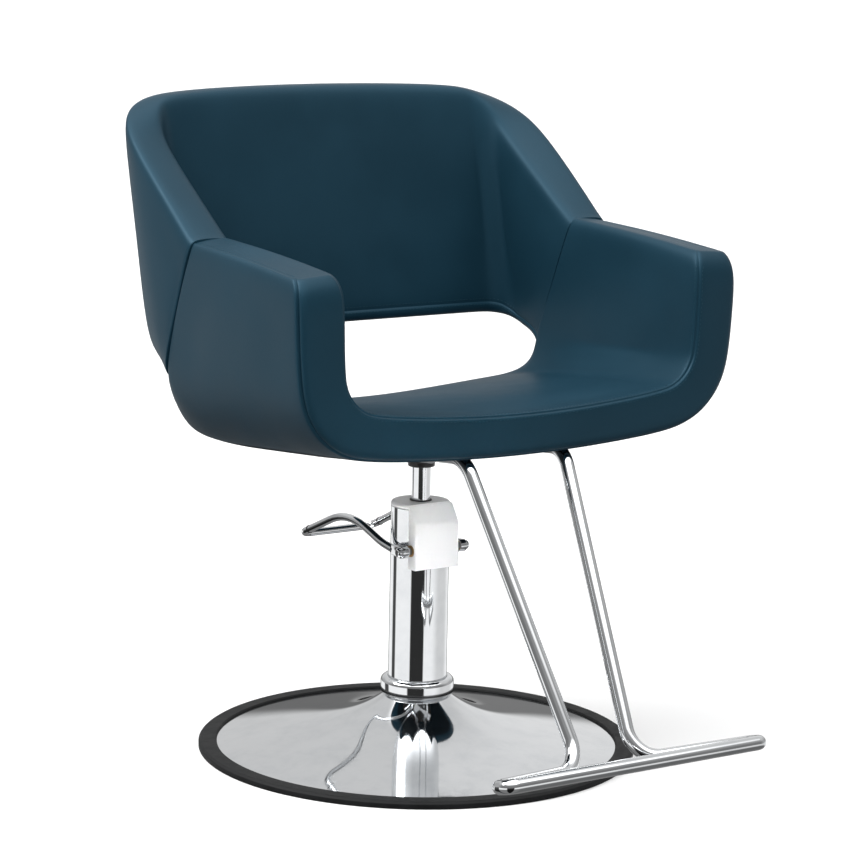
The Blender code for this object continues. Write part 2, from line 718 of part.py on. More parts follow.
def make_piston(lift):
    skirt = ROD_RADIUS + PISTON_CLEARANCE
    head = ring_profile(skirt, STUB_BORE, PISTON_BOTTOM, PISTON_TOP)
    turned("piston_head", head, "steel", ring=True, parent=lift)
    seal_top = PISTON_BOTTOM - GAP
    seal = ring_profile(skirt, STUB_BORE, seal_top - PISTON_SEAL_HEIGHT, seal_top)
    turned("piston_seal", seal, "rubber", ring=True, parent=lift)


def make_rod(swivel):
    shoulder = PISTON_TOP + GAP
    rod = [
        (0.0, ROD_TOP),
        (ROD_RADIUS, ROD_TOP),
        (ROD_RADIUS, shoulder),
        (ROD_STUB_RADIUS, shoulder),
        (ROD_STUB_RADIUS, shoulder - ROD_STUB_LENGTH),
        (0.0, shoulder - ROD_STUB_LENGTH),
    ]
    turned("piston_rod", rod, "chrome", parent=swivel)
    nut_top = PISTON_BOTTOM - 2 * GAP - PISTON_SEAL_HEIGHT
    nut = ring_profile(STUB_BORE + PISTON_NUT_WALL, STUB_BORE, nut_top - PISTON_NUT_HEIGHT, nut_top)
    turned("piston_nut", nut, "steel", ring=True, parent=swivel)


# Seat carrier, modelled in a frame that tilts with the seat

PLATE_TOP = -GAP
PLATE_BOTTOM = PLATE_TOP - SEAT_PLATE_THICKNESS
TUBE_CENTRE = -GAP - TUBE_RADIUS


def make_seat_hub(swivel, tilt):
    top = SEAT_UNDERSIDE_Z
    socket_top = SEAT_HUB_BOTTOM + SEAT_HUB_SOCKET
    profile = [
        (0.0, top),
        (SEAT_HUB_TOP_RADIUS, top),
        (SEAT_HUB_TOP_RADIUS, SEAT_HUB_BOTTOM + SEAT_HUB_NECK + SEAT_HUB_FLARE),
        (SEAT_HUB_RADIUS, SEAT_HUB_BOTTOM + SEAT_HUB_NECK),
        (SEAT_HUB_RADIUS, SEAT_HUB_BOTTOM + SEAT_HUB_CHAMFER),
        (SEAT_HUB_RADIUS - SEAT_HUB_CHAMFER, SEAT_HUB_BOTTOM),
        (ROD_BORE, SEAT_HUB_BOTTOM),
        (ROD_BORE, socket_top),
        (0.0, socket_top),
    ]
    hub = turned("seat_hub", profile, "black_paint", HUB_SIDES, parent=swivel)
    reach = 3 * SEAT_HUB_TOP_RADIUS
    above = box_mesh("hub_top", (-reach, -reach, PLATE_BOTTOM - GAP), (reach, reach, reach))
    boolean(hub, add_cutter("hub_top", above, parent=tilt))


def plate_bolt_places():
    return [(x * PLATE_BOLT_X, y * PLATE_BOLT_Y) for y in (-1, 1) for x in (-1, 1)]


def saddle_screw_places():
    offset = TUBE_RADIUS + GAP + SADDLE_WALL + SADDLE_FLANGE / 2
    return [(side * FOOTREST_HALF_SPREAD + way * offset, SADDLE_Y) for side in (-1, 1) for way in (-1, 1)]


def saddle_screw_holes(tilt):
    places = [(x, y, 0.0) for x, y in saddle_screw_places()]
    depth = 4 * (BOARD_THICKNESS + SADDLE_WALL)
    holes = rods_mesh("saddle_screw_holes", places, SADDLE_SCREW_SHANK_RADIUS + GAP, depth, SCREW_SIDES)
    return add_cutter("saddle_screw_holes", holes, parent=tilt)


def make_seat_plate_and_board(tilt, screw_drill):
    low = (-SEAT_PLATE_HALF_WIDTH, -SEAT_PLATE_HALF_LENGTH, PLATE_BOTTOM)
    high = (SEAT_PLATE_HALF_WIDTH, SEAT_PLATE_HALF_LENGTH, PLATE_TOP)
    plate = add_part("seat_plate", box_mesh("seat_plate", low, high), "black_paint", parent=tilt)
    board_low = (-BOARD_HALF_WIDTH, BOARD_FRONT, 0.0)
    board_high = (BOARD_HALF_WIDTH, BOARD_BACK, BOARD_THICKNESS)
    board = add_part("seat_board", box_mesh("seat_board", board_low, board_high), "plywood", parent=tilt)
    bolt_holes = [(x, y, 0.0) for x, y in plate_bolt_places()]
    depth = 4 * (BOARD_THICKNESS + SEAT_PLATE_THICKNESS)
    holes = rods_mesh("plate_bolt_holes", bolt_holes, PLATE_BOLT_SHANK_RADIUS + GAP, depth, SCREW_SIDES)
    drill = add_cutter("plate_bolt_holes", holes, parent=tilt)
    boolean(plate, drill)
    boolean(board, drill)
    boolean(board, screw_drill)
    shank = SEAT_PLATE_THICKNESS + PLATE_BOLT_BITE
    bolt = screw_profile(PLATE_BOLT_HEAD_RADIUS, PLATE_BOLT_HEAD_HEIGHT, PLATE_BOLT_SHANK_RADIUS, shank)
    for i, (x, y) in enumerate(plate_bolt_places(), start=1):
        seat = (x, y, PLATE_BOTTOM - GAP)
        turned(f"plate_bolt_{i}", bolt, "steel", SCREW_SIDES, parent=tilt, location=seat)


# Footrest

def make_footrest(swivel, tilt, screw_drill):
    bpy.context.view_layer.update()
    seat_to_world = tilt.matrix_world
    tail = seat_to_world @ Vector((FOOTREST_HALF_SPREAD, FOOTREST_TAIL, TUBE_CENTRE))
    knee = seat_to_world @ Vector((FOOTREST_HALF_SPREAD, FOOTREST_KNEE_Y, TUBE_CENTRE))
    end_x = FOOTREST_HALF_LENGTH - TUBE_RADIUS
    half = [tuple(tail), tuple(knee)]
    for x, y in (
        (FOOTREST_HEEL_X, FOOTREST_HEEL_Y),
        (end_x, FOOTREST_BAR_Y + FOOTREST_BAR_SPACING),
        (end_x, FOOTREST_BAR_Y),
    ):
        half.append((x, y, FOOTREST_HEEL_Z + FOOTREST_TOE_RISE * (FOOTREST_HEEL_Y - y)))
    return_radius = FOOTREST_RETURN_SHARE * FOOTREST_BAR_SPACING
    bends = [FOOTREST_BEND_RADIUS, FOOTREST_BEND_RADIUS, return_radius, return_radius]
    route = rounded_path(mirrored_corners(half), bends + bends[::-1])
    tube("footrest_tube", route, TUBE_RADIUS, "chrome", 3, parent=swivel)
    inside = TUBE_RADIUS + GAP
    outside = inside + SADDLE_WALL
    wing = outside + SADDLE_FLANGE
    low = -GAP - SADDLE_WALL
    strap = [(-wing, -GAP), (-inside, -GAP)]
    strap += arc((0, TUBE_CENTRE), inside, 180, 360, 13)
    strap += [(inside, -GAP), (wing, -GAP), (wing, low), (outside, low)]
    strap += arc((0, TUBE_CENTRE), outside, 0, -180, 13)
    strap += [(-outside, low), (-wing, low)]
    plug = [
        (0.0, PLUG_THICKNESS),
        (TUBE_RADIUS - PLUG_THICKNESS / 2, PLUG_THICKNESS),
        (TUBE_RADIUS, PLUG_THICKNESS / 2),
        (TUBE_RADIUS, 0.0),
        (0.0, 0.0),
    ]
    backward = (-pi / 2, 0, 0)
    for side, way in (("left", -1), ("right", 1)):
        name = f"footrest_saddle_{side}"
        mesh = smooth(plate_mesh(name, [strap], SADDLE_LENGTH))
        place = (way * FOOTREST_HALF_SPREAD, SADDLE_Y, 0.0)
        boolean(add_part(name, mesh, "steel", parent=tilt, location=place, rotation=ALONG_Y), screw_drill)
        end = (way * FOOTREST_HALF_SPREAD, FOOTREST_TAIL + GAP, TUBE_CENTRE)
        turned(f"footrest_plug_{side}", plug, "black_plastic", parent=tilt, location=end, rotation=backward)
    shank = SADDLE_WALL + SADDLE_SCREW_BITE
    head = (SADDLE_SCREW_HEAD_RADIUS, SADDLE_SCREW_HEAD_HEIGHT)
    screw = screw_profile(*head, SADDLE_SCREW_SHANK_RADIUS, shank)
    for i, (x, y) in enumerate(saddle_screw_places(), start=1):
        turned(f"saddle_screw_{i}", screw, "steel", SCREW_SIDES, parent=tilt, location=(x, y, low - GAP))


# Upholstery: closed cages of cross-section loops, mirrored and subdivided

def mix(first, second, share):
    return first + (second - first) * share


def loft_half(name, loops):
    """Bridge closed loops of points in order and cap the last; the first stays open on the mirror plane."""
    bm = bmesh.new()
    rings = []
    for loop in loops:
        points = [bm.verts.new(point) for point in loop]
        rings.append([bm.edges.new((a, b)) for a, b in zip(points, points[1:] + points[:1])])
    for first, second in zip(rings, rings[1:]):
        bmesh.ops.bridge_loops(bm, edges=first + second)
    bmesh.ops.contextual_create(bm, geom=rings[-1])
    bmesh.ops.recalc_face_normals(bm, faces=bm.faces)
    mesh = bpy.data.meshes.new(name)
    bm.to_mesh(mesh)
    bm.free()
    mesh.shade_smooth()
    return mesh


def add_upholstery(name, loops, swivel):
    made = add_part(name, loft_half(name, loops), "upholstery", parent=swivel)
    halves = made.modifiers.new("halves", "MIRROR")
    halves.merge_threshold = 0.0001
    soft = made.modifiers.new("soft", "SUBSURF")
    soft.levels = 1
    soft.render_levels = 1
    return made


def u_outline(floor_z, crown, corner_radius, corner_half_width, half_width):
    """Half of a U seen from the front, as (x, z) stations from the middle of the floor to the arm top."""
    arc_x = corner_half_width - corner_radius
    slope = 0.0
    for _ in range(8):
        touch_x = arc_x + corner_radius * sin(atan(slope))
        slope = 2 * crown * touch_x
    arc_z = floor_z + crown * touch_x ** 2 + corner_radius * cos(atan(slope))
    floor = [(share * touch_x, floor_z + crown * (share * touch_x) ** 2) for share in (0.0, 0.35, 0.7)]
    corner = arc((arc_x, arc_z), corner_radius, atan(slope) * 180 / pi - 90, 0, 5)
    wall = [(mix(corner_half_width, half_width, 0.8), mix(arc_z, ARM_TOP_Z, 0.45))]
    wall += [(half_width, ARM_TOP_Z - EDGE_ROUND), (half_width, ARM_TOP_Z)]
    return floor + corner + wall


def seam_y(z):
    return SEAM_TOP_Y + SEAM_LEAN * (SEAM_TOP_Z - z)


def band_point(outer, inner, slopes, depth, share):
    """A point of the band at a depth behind the front face and a share of the way from outside to inside."""
    outer_x = outer[0] * (1 - slopes[2] * ARM_OUTER_TAPER * depth)
    inner_x = inner[0] * (1 - slopes[2] * ARM_INNER_TAPER * depth)
    x = mix(outer_x, inner_x, share)
    z = mix(outer[1] + slopes[0] * depth, inner[1] + slopes[1] * depth, share)
    along = min(depth / (SEAM_TOP_Y - FRONT_Y), 1.0)
    bow = 4 * ARM_BOW * slopes[2] * along * (1 - along)
    return (x, FRONT_Y + depth, z + bow)


def rear_edge(seam, edge, lip_share):
    """The rear edge of the band at a station, as (depth, share): closed on the seam, or free at the slot."""
    lip = mix(SLOT_END_INNER_Y, SEAT_LIP_Y, lip_share)
    tail = mix(SLOT_END_OUTER_Y, SEAT_LIP_Y, lip_share)
    heel = mix(SLOT_END_ROUND, SEAT_HEEL_ROUND, lip_share)
    free = [
        (tail - heel, 0.0),
        (tail - 0.25 * heel, 0.14),
        (mix(tail, lip, 0.35), 0.48),
        (mix(tail, lip, 0.8), 0.86),
        (lip - EDGE_ROUND, 1.0),
    ]
    eased = seam - EDGE_ROUND / 2
    closed = [(eased, 0.0), (seam, edge / 2), (seam, 0.5), (seam, 1 - edge / 2), (eased, 1.0)]
    return [(y - FRONT_Y, share) for y, share in closed], [(y - FRONT_Y, share) for y, share in free]


def make_seat_shell(swivel, tilt):
    outer_line = u_outline(
        OUTER_FLOOR_Z, OUTER_CROWN, OUTER_CORNER_RADIUS, OUTER_CORNER_HALF_WIDTH, OUTER_HALF_WIDTH
    )
    inner_line = u_outline(
        INNER_FLOOR_Z, INNER_CROWN, INNER_CORNER_RADIUS, INNER_CORNER_HALF_WIDTH, INNER_HALF_WIDTH
    )
    last_free = 5
    wall_share = [0.0, 0.0, 0.0, 0.0, 0.02, 0.14, 0.36, 0.6, 0.8, 1.0, 1.0]
    lip_share = [1.0, 1.0, 1.0, 0.85, 0.42, 0.08, 0.0, 0.0, 0.0, 0.0, 0.0]
    loops = []
    for i, (outer, inner) in enumerate(zip(outer_line, inner_line)):
        outer_slope = mix(-SEAT_TILT, ARM_RISE, wall_share[i])
        inner_slope = mix(-SEAT_TOP_TILT, ARM_RISE, wall_share[i])
        slopes = (outer_slope, inner_slope, wall_share[i])
        edge = EDGE_ROUND / (Vector(outer) - Vector(inner)).length
        seam_z = mix(outer[1], inner[1], 0.5) + outer_slope * (SEAM_TOP_Y - FRONT_Y)
        seam = seam_y(min(seam_z, SEAM_TOP_Z)) - SEAM_GAP / 2
        closed, free = rear_edge(seam, edge, lip_share[i])
        rear = free if i <= last_free else closed
        start = rear[0][0]
        finish = rear[-1][0]
        section = [(0.0, edge), (EDGE_ROUND, 0.0), (0.4 * start, 0.0), (0.7 * start, 0.0)]
        section += rear
        section += [(0.66 * finish, 1.0), (0.33 * finish, 1.0), (EDGE_ROUND, 1.0), (0.0, 1 - edge)]
        if i == len(outer_line) - 1:
            deepest = seam - FRONT_Y - EDGE_ROUND / 4
            section = [
                (min(EDGE_ROUND + depth * (1 - EDGE_ROUND / start), deepest), mix(edge, 1 - edge, share))
                for depth, share in section
            ]
        loop = [band_point(outer, inner, slopes, depth, share) for depth, share in section]
        puff = SEAT_CROWN * max(0.0, 1 - i / last_free)
        for k in (9, 10):
            x, y, z = loop[k]
            loop[k] = (x, y, z + puff)
        loops.append(loop)
    shell = add_upholstery("seat_shell", loops, swivel)
    low = (-BOARD_HALF_WIDTH - GAP, BOARD_FRONT - GAP, -4 * BOARD_THICKNESS)
    high = (BOARD_HALF_WIDTH + GAP, BOARD_BACK + GAP, BOARD_THICKNESS + GAP)
    boolean(shell, add_cutter("board_recess", box_mesh("board_recess", low, high), parent=tilt))
    half = TUBE_RADIUS + CHANNEL_CLEARANCE
    for side in (-1, 1):
        middle = side * FOOTREST_HALF_SPREAD
        low = (middle - half, FOOTREST_KNEE_Y - half, -4 * BOARD_THICKNESS)
        high = (middle + half, BOARD_FRONT + BOARD_THICKNESS, CHANNEL_CLEARANCE)
        boolean(shell, add_cutter("tube_channel", box_mesh("tube_channel", low, high), parent=tilt))


def back_rail(half_width, corner_radius, rear_offset, i, z):
    """Where station i of the back's outer or inner skin stands in plan at height z, as (x, y)."""
    rise = z - BACK_LOW_Z
    rear = BACK_INNER_Y + rear_offset + BACK_RECLINE * rise
    bow = BACK_BOW * max(rise, 0.0) / (BACK_TOP_Z - BACK_LOW_Z)
    arc_x = half_width - corner_radius
    if i <= 3:
        x = arc_x * i / 3
        return (x, rear - bow * (x / arc_x) ** 2)
    corner_y = rear - bow - corner_radius
    if i <= 7:
        turn = radians(90 - 22.5 * (i - 3))
        return (arc_x + corner_radius * cos(turn), corner_y + corner_radius * sin(turn))
    share = {8: 0.5, 9: 0.94, 10: 1.0}[i]
    return (half_width, mix(corner_y, seam_y(z) + SEAM_GAP / 2, share))


def back_point(i, z, share):
    """A point of the back at station i and height z, and its share of the way from outer to inner skin."""
    outer_half_width = BACK_OUTER_HALF_WIDTH - BACK_FLARE * (BACK_TOP_Z - z)
    outer = back_rail(outer_half_width, BACK_OUTER_CORNER_RADIUS, BACK_THICKNESS_Y, i, z)
    inner = back_rail(BACK_INNER_HALF_WIDTH, BACK_INNER_CORNER_RADIUS, 0.0, i, z)
    return Vector((mix(outer[0], inner[0], share), mix(outer[1], inner[1], share), z))


def make_backrest(swivel):
    seam_low = BACK_LOW_Z - BACK_LOW_END_DROP
    tops = [mix(BACK_TOP_Z, BACK_SHOULDER_Z, share) for share in (0.0, 0.1, 0.45, 1.0)]
    tops += [mix(BACK_SHOULDER_Z, BACK_WING_Z, share) for share in (0.1, 0.28, 0.57, 1.0)]
    tops += [mix(BACK_WING_Z, SEAM_TOP_Z, share) for share in (0.54, 0.94, 1.0)]
    lows = [BACK_LOW_Z] * 7
    lows += [mix(BACK_LOW_Z, seam_low, share) for share in (0.15, 0.55, 1.0, 1.0)]
    loops = []
    for i, (low, top) in enumerate(zip(lows, tops)):
        edge = EDGE_ROUND / (back_point(i, top, 0.0) - back_point(i, top, 1.0)).length
        waist = mix(low, top, 0.35)
        chest = mix(low, top, 0.68)
        heights = [low + BACK_LOW_ROUND, waist, chest, top - EDGE_ROUND]
        outer_side = [(low, 0.25)] + [(z, 0.0) for z in heights]
        inner_side = [(z, 1.0 - share) for z, share in reversed(outer_side)]
        section = outer_side + [(top, edge), (top, 1.0 - edge)] + inner_side
        loops.append([back_point(i, z, share) for z, share in section])
    add_upholstery("backrest", loops, swivel)


# Assembly

def main():
    lift = empty("lift_axis")
    swivel = empty("swivel_axis", parent=lift)
    tilt = empty("seat_frame", (0, 0, SEAT_UNDERSIDE_Z), (-atan(SEAT_TILT), 0, 0), parent=swivel)
    pivot = empty("pedal_pivot", (0, PIVOT_Y, PIVOT_Z))
    make_base_plate()
    make_base_trim_ring()
    make_floor_plate_and_flange()
    window = front_window()
    shaft_hole = shaft_hole_cutter()
    make_column(window, shaft_hole)
    make_pump_body(window, shaft_hole)
    make_mechanism_cover(shaft_hole)
    make_bushes()
    make_pedal(pivot)
    make_plunger()
    make_piston(lift)
    make_rod(swivel)
    make_seat_hub(swivel, tilt)
    screw_drill = saddle_screw_holes(tilt)
    make_seat_plate_and_board(tilt, screw_drill)
    make_footrest(swivel, tilt, screw_drill)
    make_seat_shell(swivel, tilt)
    make_backrest(swivel)


main()
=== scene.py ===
# %% [markdown]
# # A salon styling chair
# A hairdresser's chair: one padded band makes the seat and both arms, a padded back wraps round behind
# it, and a hydraulic pump column on a chromed dome carries the whole. The engineering model gives the
# bodies, the joints and the true sizes; this lesson adds the finished skins. Its solids are loaded first,
# so that each finished piece can stand for one of them and move with its body.

# %% Load the frame
from math import atan, ceil, cos, pi, radians, sin, tan

import bmesh
import bpy
from mathutils import Matrix, Vector
from mathutils.bvhtree import BVHTree


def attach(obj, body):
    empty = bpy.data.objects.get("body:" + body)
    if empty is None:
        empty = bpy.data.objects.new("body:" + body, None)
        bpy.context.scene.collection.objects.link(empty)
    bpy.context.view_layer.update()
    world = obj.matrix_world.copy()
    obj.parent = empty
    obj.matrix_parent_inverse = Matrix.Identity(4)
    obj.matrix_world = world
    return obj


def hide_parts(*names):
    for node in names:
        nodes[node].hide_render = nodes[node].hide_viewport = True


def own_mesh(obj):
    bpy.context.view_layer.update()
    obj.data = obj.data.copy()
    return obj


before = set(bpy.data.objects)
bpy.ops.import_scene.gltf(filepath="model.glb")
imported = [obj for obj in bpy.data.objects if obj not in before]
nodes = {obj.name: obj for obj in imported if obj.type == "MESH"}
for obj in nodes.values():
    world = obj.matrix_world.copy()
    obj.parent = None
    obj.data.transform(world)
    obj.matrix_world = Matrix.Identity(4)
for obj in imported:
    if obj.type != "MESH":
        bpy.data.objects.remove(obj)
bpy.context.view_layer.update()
scene = bpy.context.scene

# %% [markdown]
# ## Camera
# The photograph was taken from in front, on the side of the sitter's right hand, with a long lens held a
# little above the seat. A camera can be placed by eye, but a small error bends every later comparison, so
# its place was worked out from points of known height: floor ring, column top, arms and back.

# %% Set the camera
lens = bpy.data.cameras.new("photo_lens")
lens.sensor_width = 36.0
lens.lens = 130.02
lens.clip_end = 200.0
camera = bpy.data.objects.new("photo_camera", lens)
camera_place = (-2.27746, -3.40758, 1.18562)
turn = Matrix.Rotation(radians(-33.81), 4, "Z")
dip = Matrix.Rotation(radians(79.814), 4, "X")
roll = Matrix.Rotation(radians(1.14), 4, "Z")
camera.matrix_world = Matrix.Translation(camera_place) @ turn @ dip @ roll
scene.collection.objects.link(camera)
scene.camera = camera
print("camera", [round(v, 2) for v in camera.matrix_world.translation])

# %% [markdown]
# ## Shader arithmetic
# A finish on a real piece is many small things at once: grain, wear, dust, a change of colour. They could
# be wired by hand, one node after the other, but then nobody can read the sum. Written as sums and
# products each stays readable, so one small class lets a socket take part in them.


# %% Wires that can be added and multiplied
class Wire:
    """An output socket of a shader tree; arithmetic on it adds Math nodes."""

    def __init__(self, socket):
        self.socket = socket
        self.tree = socket.id_data

    def node(self, kind, sockets, settings=(), output=0):
        """Adds any other node: its settings first, then a value or a wire for each named socket."""
        made = self.tree.nodes.new(kind)
        for name, value in dict(settings).items():
            setattr(made, name, value)
        for name, value in sockets.items():
            if isinstance(value, Wire):
                self.tree.links.new(value.socket, made.inputs[name])
            else:
                made.inputs[name].default_value = value
        return Wire(made.outputs[output])

    def math(self, operation, *terms):
        return self.node("ShaderNodeMath", dict(enumerate(terms)), {"operation": operation})

    def __add__(self, other):
        return self.math("ADD", self, other)

    def __sub__(self, other):
        return self.math("SUBTRACT", self, other)

    def __rsub__(self, other):
        return self.math("SUBTRACT", other, self)

    def __mul__(self, other):
        return self.math("MULTIPLY", self, other)

    __radd__ = __add__
    __rmul__ = __mul__

    def step(self, low, high):
        """A soft step from 0 at low to 1 at high."""
        limits = {"Value": self, "From Min": low, "From Max": high}
        return self.node("ShaderNodeMapRange", limits, {"interpolation_type": "SMOOTHSTEP"})

    def span(self, rise, fall):
        """1 within a stretch and 0 outside it, with a soft step at either end."""
        return self.step(*rise) * (1.0 - self.step(*fall))

    def mix(self, first, second):
        """A colour between two, with this wire as the share of the second."""
        return self.node("ShaderNodeMix", {0: self, 6: first, 7: second}, {"data_type": "RGBA"}, output=2)

    def noise(self, scale, detail=2.0, roughness=0.5):
        """Cloudy noise over this vector."""
        return self.node("ShaderNodeTexNoise", {"Vector": self, "Scale": scale, "Detail": detail,
                                                "Roughness": roughness})

    def cells(self, scale):
        """Distance from the walls of random cells, over this vector."""
        return self.node("ShaderNodeTexVoronoi", {"Vector": self, "Scale": scale},
                         {"feature": "DISTANCE_TO_EDGE"})

    def axis(self, name):
        """One coordinate of this vector."""
        return self.node("ShaderNodeSeparateXYZ", {0: self}, output=name)

    def along(self, direction):
        """How far this vector goes in a direction."""
        return self.node("ShaderNodeVectorMath", {0: self, 1: direction}, {"operation": "DOT_PRODUCT"},
                         output="Value")

    def stretched(self, *scale):
        return self.node("ShaderNodeVectorMath", {0: self, 1: scale}, {"operation": "MULTIPLY"})

    def bump(self, strength, distance):
        """Reads this wire as a height and gives the tilted normal."""
        return self.node("ShaderNodeBump", {"Height": self, "Strength": strength, "Distance": distance})


# %% [markdown]
# A finish is a material with one surface shader. What is the same everywhere is set on the shader's own
# socket, and what changes over the surface is plugged in as a wire. A wire reads the place of a point in
# the piece's own space, so that a pattern stays on its piece when the piece moves.

# %% A new finish
finishes = {}


def new_finish(name, **fixed):
    """A material with its surface shader; fixed values are given by socket name. Returns shader and place."""
    material = bpy.data.materials.new(name)
    material.use_nodes = True
    shader = material.node_tree.nodes["Principled BSDF"]
    for socket, value in fixed.items():
        shader.inputs[socket.replace("_", " ")].default_value = value
    finishes[name] = material
    place = Wire(material.node_tree.nodes.new("ShaderNodeTexCoord").outputs["Object"])
    return shader, place


def plug(shader, **wires):
    """Links wires to the shader's sockets."""
    for socket, wire in wires.items():
        wire.tree.links.new(wire.socket, shader.inputs[socket.replace("_", " ")])


# %% [markdown]
# ## Finishes
# The cover is a satin synthetic leather, dark petrol blue, with a fine pebbled grain pressed in by a
# roller. A picture of leather would need unwrapping and would repeat; random cells in the piece's own
# space give pebbles of true size on any shape. The colour is painted darker in the creases between the
# pebbles as painted shade, and handling polishes the pebbles unevenly. Under the seat the cover goes
# over into plain black: a dust cloth there, which is also painted shade for the dark bottom of the seat.

# %% Leather and thread
seat_tilt, under_crown = 0.0987, 0.215
# Where the black bottom of the seat begins behind the front and how far up its sloping floor it reaches: a
# dust cloth, and painted shade under the seat.
cloth_and_shade_begins, cloth_and_shade_ends = (-0.233, -0.227), (0.4250, 0.4292)
shader, place = new_finish("leather", Specular_IOR_Level=0.42, IOR=1.45, Specular_Tint=(0.40, 0.74, 1.0, 1.0))
pebble = place.cells(820.0).step(0.0, 0.32)
crease = place.noise(420.0, 3.0)
handling = place.noise(7.0, 3.0).step(0.35, 0.7)
cloud = place.noise(2.3, 2.0).step(0.3, 0.7)
deep = cloud.mix((0.0062, 0.0275, 0.0445, 1), (0.0072, 0.0312, 0.0505, 1))
# Lighter on the pebbles and darker in the creases between them, which is painted shade in the grain; handling
# adds random lighter patches.
skin = (pebble * 0.35 + 0.65 * handling).mix(deep, (0.0090, 0.0365, 0.0585, 1))
from_middle, from_axis = place.axis("X"), place.axis("Y")
height_over = place.axis("Z") - under_crown * from_middle * from_middle + seat_tilt * from_axis
# Mask of the black bottom of the seat: a dust cloth, and also painted shade where the seat hangs over the
# floor.
underside_cloth_and_shade = (1.0 - height_over.step(*cloth_and_shade_ends)) * from_axis.step(*cloth_and_shade_begins)
plug(shader, Base_Color=underside_cloth_and_shade.mix(skin, (0.004, 0.004, 0.0045, 1)))
plug(shader, Roughness=0.44 + 0.06 * handling - 0.05 * pebble + 0.3 * underside_cloth_and_shade)
plug(shader, Normal=(pebble * 0.6 + crease * 0.5).bump(0.14, 0.0004))

shader, place = new_finish("thread", Specular_IOR_Level=0.3)
twist = place.noise(1500.0, 1.0)
plug(shader, Base_Color=twist.mix((0.006, 0.036, 0.058, 1), (0.014, 0.062, 0.095, 1)))
plug(shader, Roughness=0.55 + 0.2 * twist)
plug(shader, Normal=twist.bump(0.4, 0.0003))
print("finishes:", sorted(finishes))

# %% [markdown]
# Chrome plate is a thin mirror over polished steel. A perfect mirror looks drawn, so two faint things are
# added: the haze that wiping leaves, and a slow ripple of the metal below. The hidden steel, bronze and
# iron keep the marks of the tools that made them: brushing, turning and the sand of the mould.

# %% Chrome and other metals
shader, place = new_finish("chrome", Metallic=1.0)
haze = place.noise(26.0, 4.0, 0.6).step(0.35, 0.8)
ripple = place.noise(5.0, 1.0)
plug(shader, Base_Color=haze.mix((0.86, 0.875, 0.89, 1), (0.78, 0.80, 0.82, 1)))
plug(shader, Roughness=0.035 + 0.05 * haze)
plug(shader, Normal=ripple.bump(0.05, 0.01))

shader, place = new_finish("steel", Metallic=1.0)
brushed = place.stretched(40.0, 40.0, 900.0).noise(1.0, 2.0)
plug(shader, Base_Color=brushed.mix((0.42, 0.43, 0.44, 1), (0.60, 0.61, 0.62, 1)))
plug(shader, Roughness=0.28 + 0.2 * brushed)

shader, place = new_finish("bronze", Metallic=1.0)
turned = place.stretched(900.0, 60.0, 60.0).noise(1.0, 2.0)
plug(shader, Base_Color=turned.mix((0.42, 0.24, 0.09, 1), (0.56, 0.35, 0.15, 1)))
plug(shader, Roughness=0.3 + 0.2 * turned)

shader, place = new_finish("cast_iron", Metallic=0.6)
sand = place.noise(420.0, 4.0, 0.65)
plug(shader, Base_Color=sand.mix((0.035, 0.036, 0.038, 1), (0.10, 0.10, 0.105, 1)))
plug(shader, Roughness=0.55 + 0.25 * sand)
plug(shader, Normal=sand.bump(0.5, 0.0006))
print("finishes:", sorted(finishes))

# %% [markdown]
# The hub under the seat is powder-coated, which dries with a slight orange peel, and the pump head is
# sprayed a light silver with fine flecks in it. The ring round the base is moulded rubber that greys with
# floor dust, and the board in the seat is ply with its veneers showing. Noise stands for the peel and the
# dust, because neither has a direction; the veneers have one, so their noise is stretched.

# %% Paint, rubber, plastic and ply
shader, place = new_finish("black_paint", Coat_Weight=0.2)
peel = place.noise(520.0, 2.0)
plug(shader, Base_Color=peel.mix((0.004, 0.004, 0.0044, 1), (0.009, 0.009, 0.0095, 1)))
plug(shader, Roughness=0.34 + 0.1 * peel)
plug(shader, Normal=peel.bump(0.2, 0.0004))

shader, place = new_finish("silver_paint", Coat_Weight=0.35, Coat_Roughness=0.12)
fleck = place.cells(1400.0).step(0.0, 0.4)
wiped = place.noise(9.0, 3.0).step(0.3, 0.75)
plug(shader, Base_Color=(0.3 * fleck + 0.7 * wiped).mix((0.90, 0.91, 0.92, 1), (0.94, 0.945, 0.95, 1)))
plug(shader, Roughness=0.30 + 0.08 * fleck)
plug(shader, Normal=fleck.bump(0.03, 0.0002))

shader, place = new_finish("rubber", Specular_IOR_Level=0.2)
dust = place.noise(38.0, 5.0, 0.65).step(0.3, 0.75)
moulded = place.noise(900.0, 2.0)
plug(shader, Base_Color=dust.mix((0.0065, 0.0069, 0.0073, 1), (0.0140, 0.0148, 0.0156, 1)))
plug(shader, Roughness=0.5 + 0.18 * dust)
plug(shader, Normal=moulded.bump(0.25, 0.0003))

shader, place = new_finish("black_plastic", Specular_IOR_Level=0.5)
texture = place.noise(1100.0, 2.0)
plug(shader, Base_Color=texture.mix((0.012, 0.012, 0.013, 1), (0.022, 0.022, 0.024, 1)))
plug(shader, Roughness=0.38 + 0.12 * texture)

shader, place = new_finish("plywood")
veneer = place.stretched(6.0, 120.0, 900.0).noise(1.0, 3.0)
plug(shader, Base_Color=veneer.mix((0.016, 0.014, 0.012, 1), (0.040, 0.034, 0.028, 1)))
plug(shader, Roughness=0.55 + 0.2 * veneer)
print("finishes:", sorted(finishes))

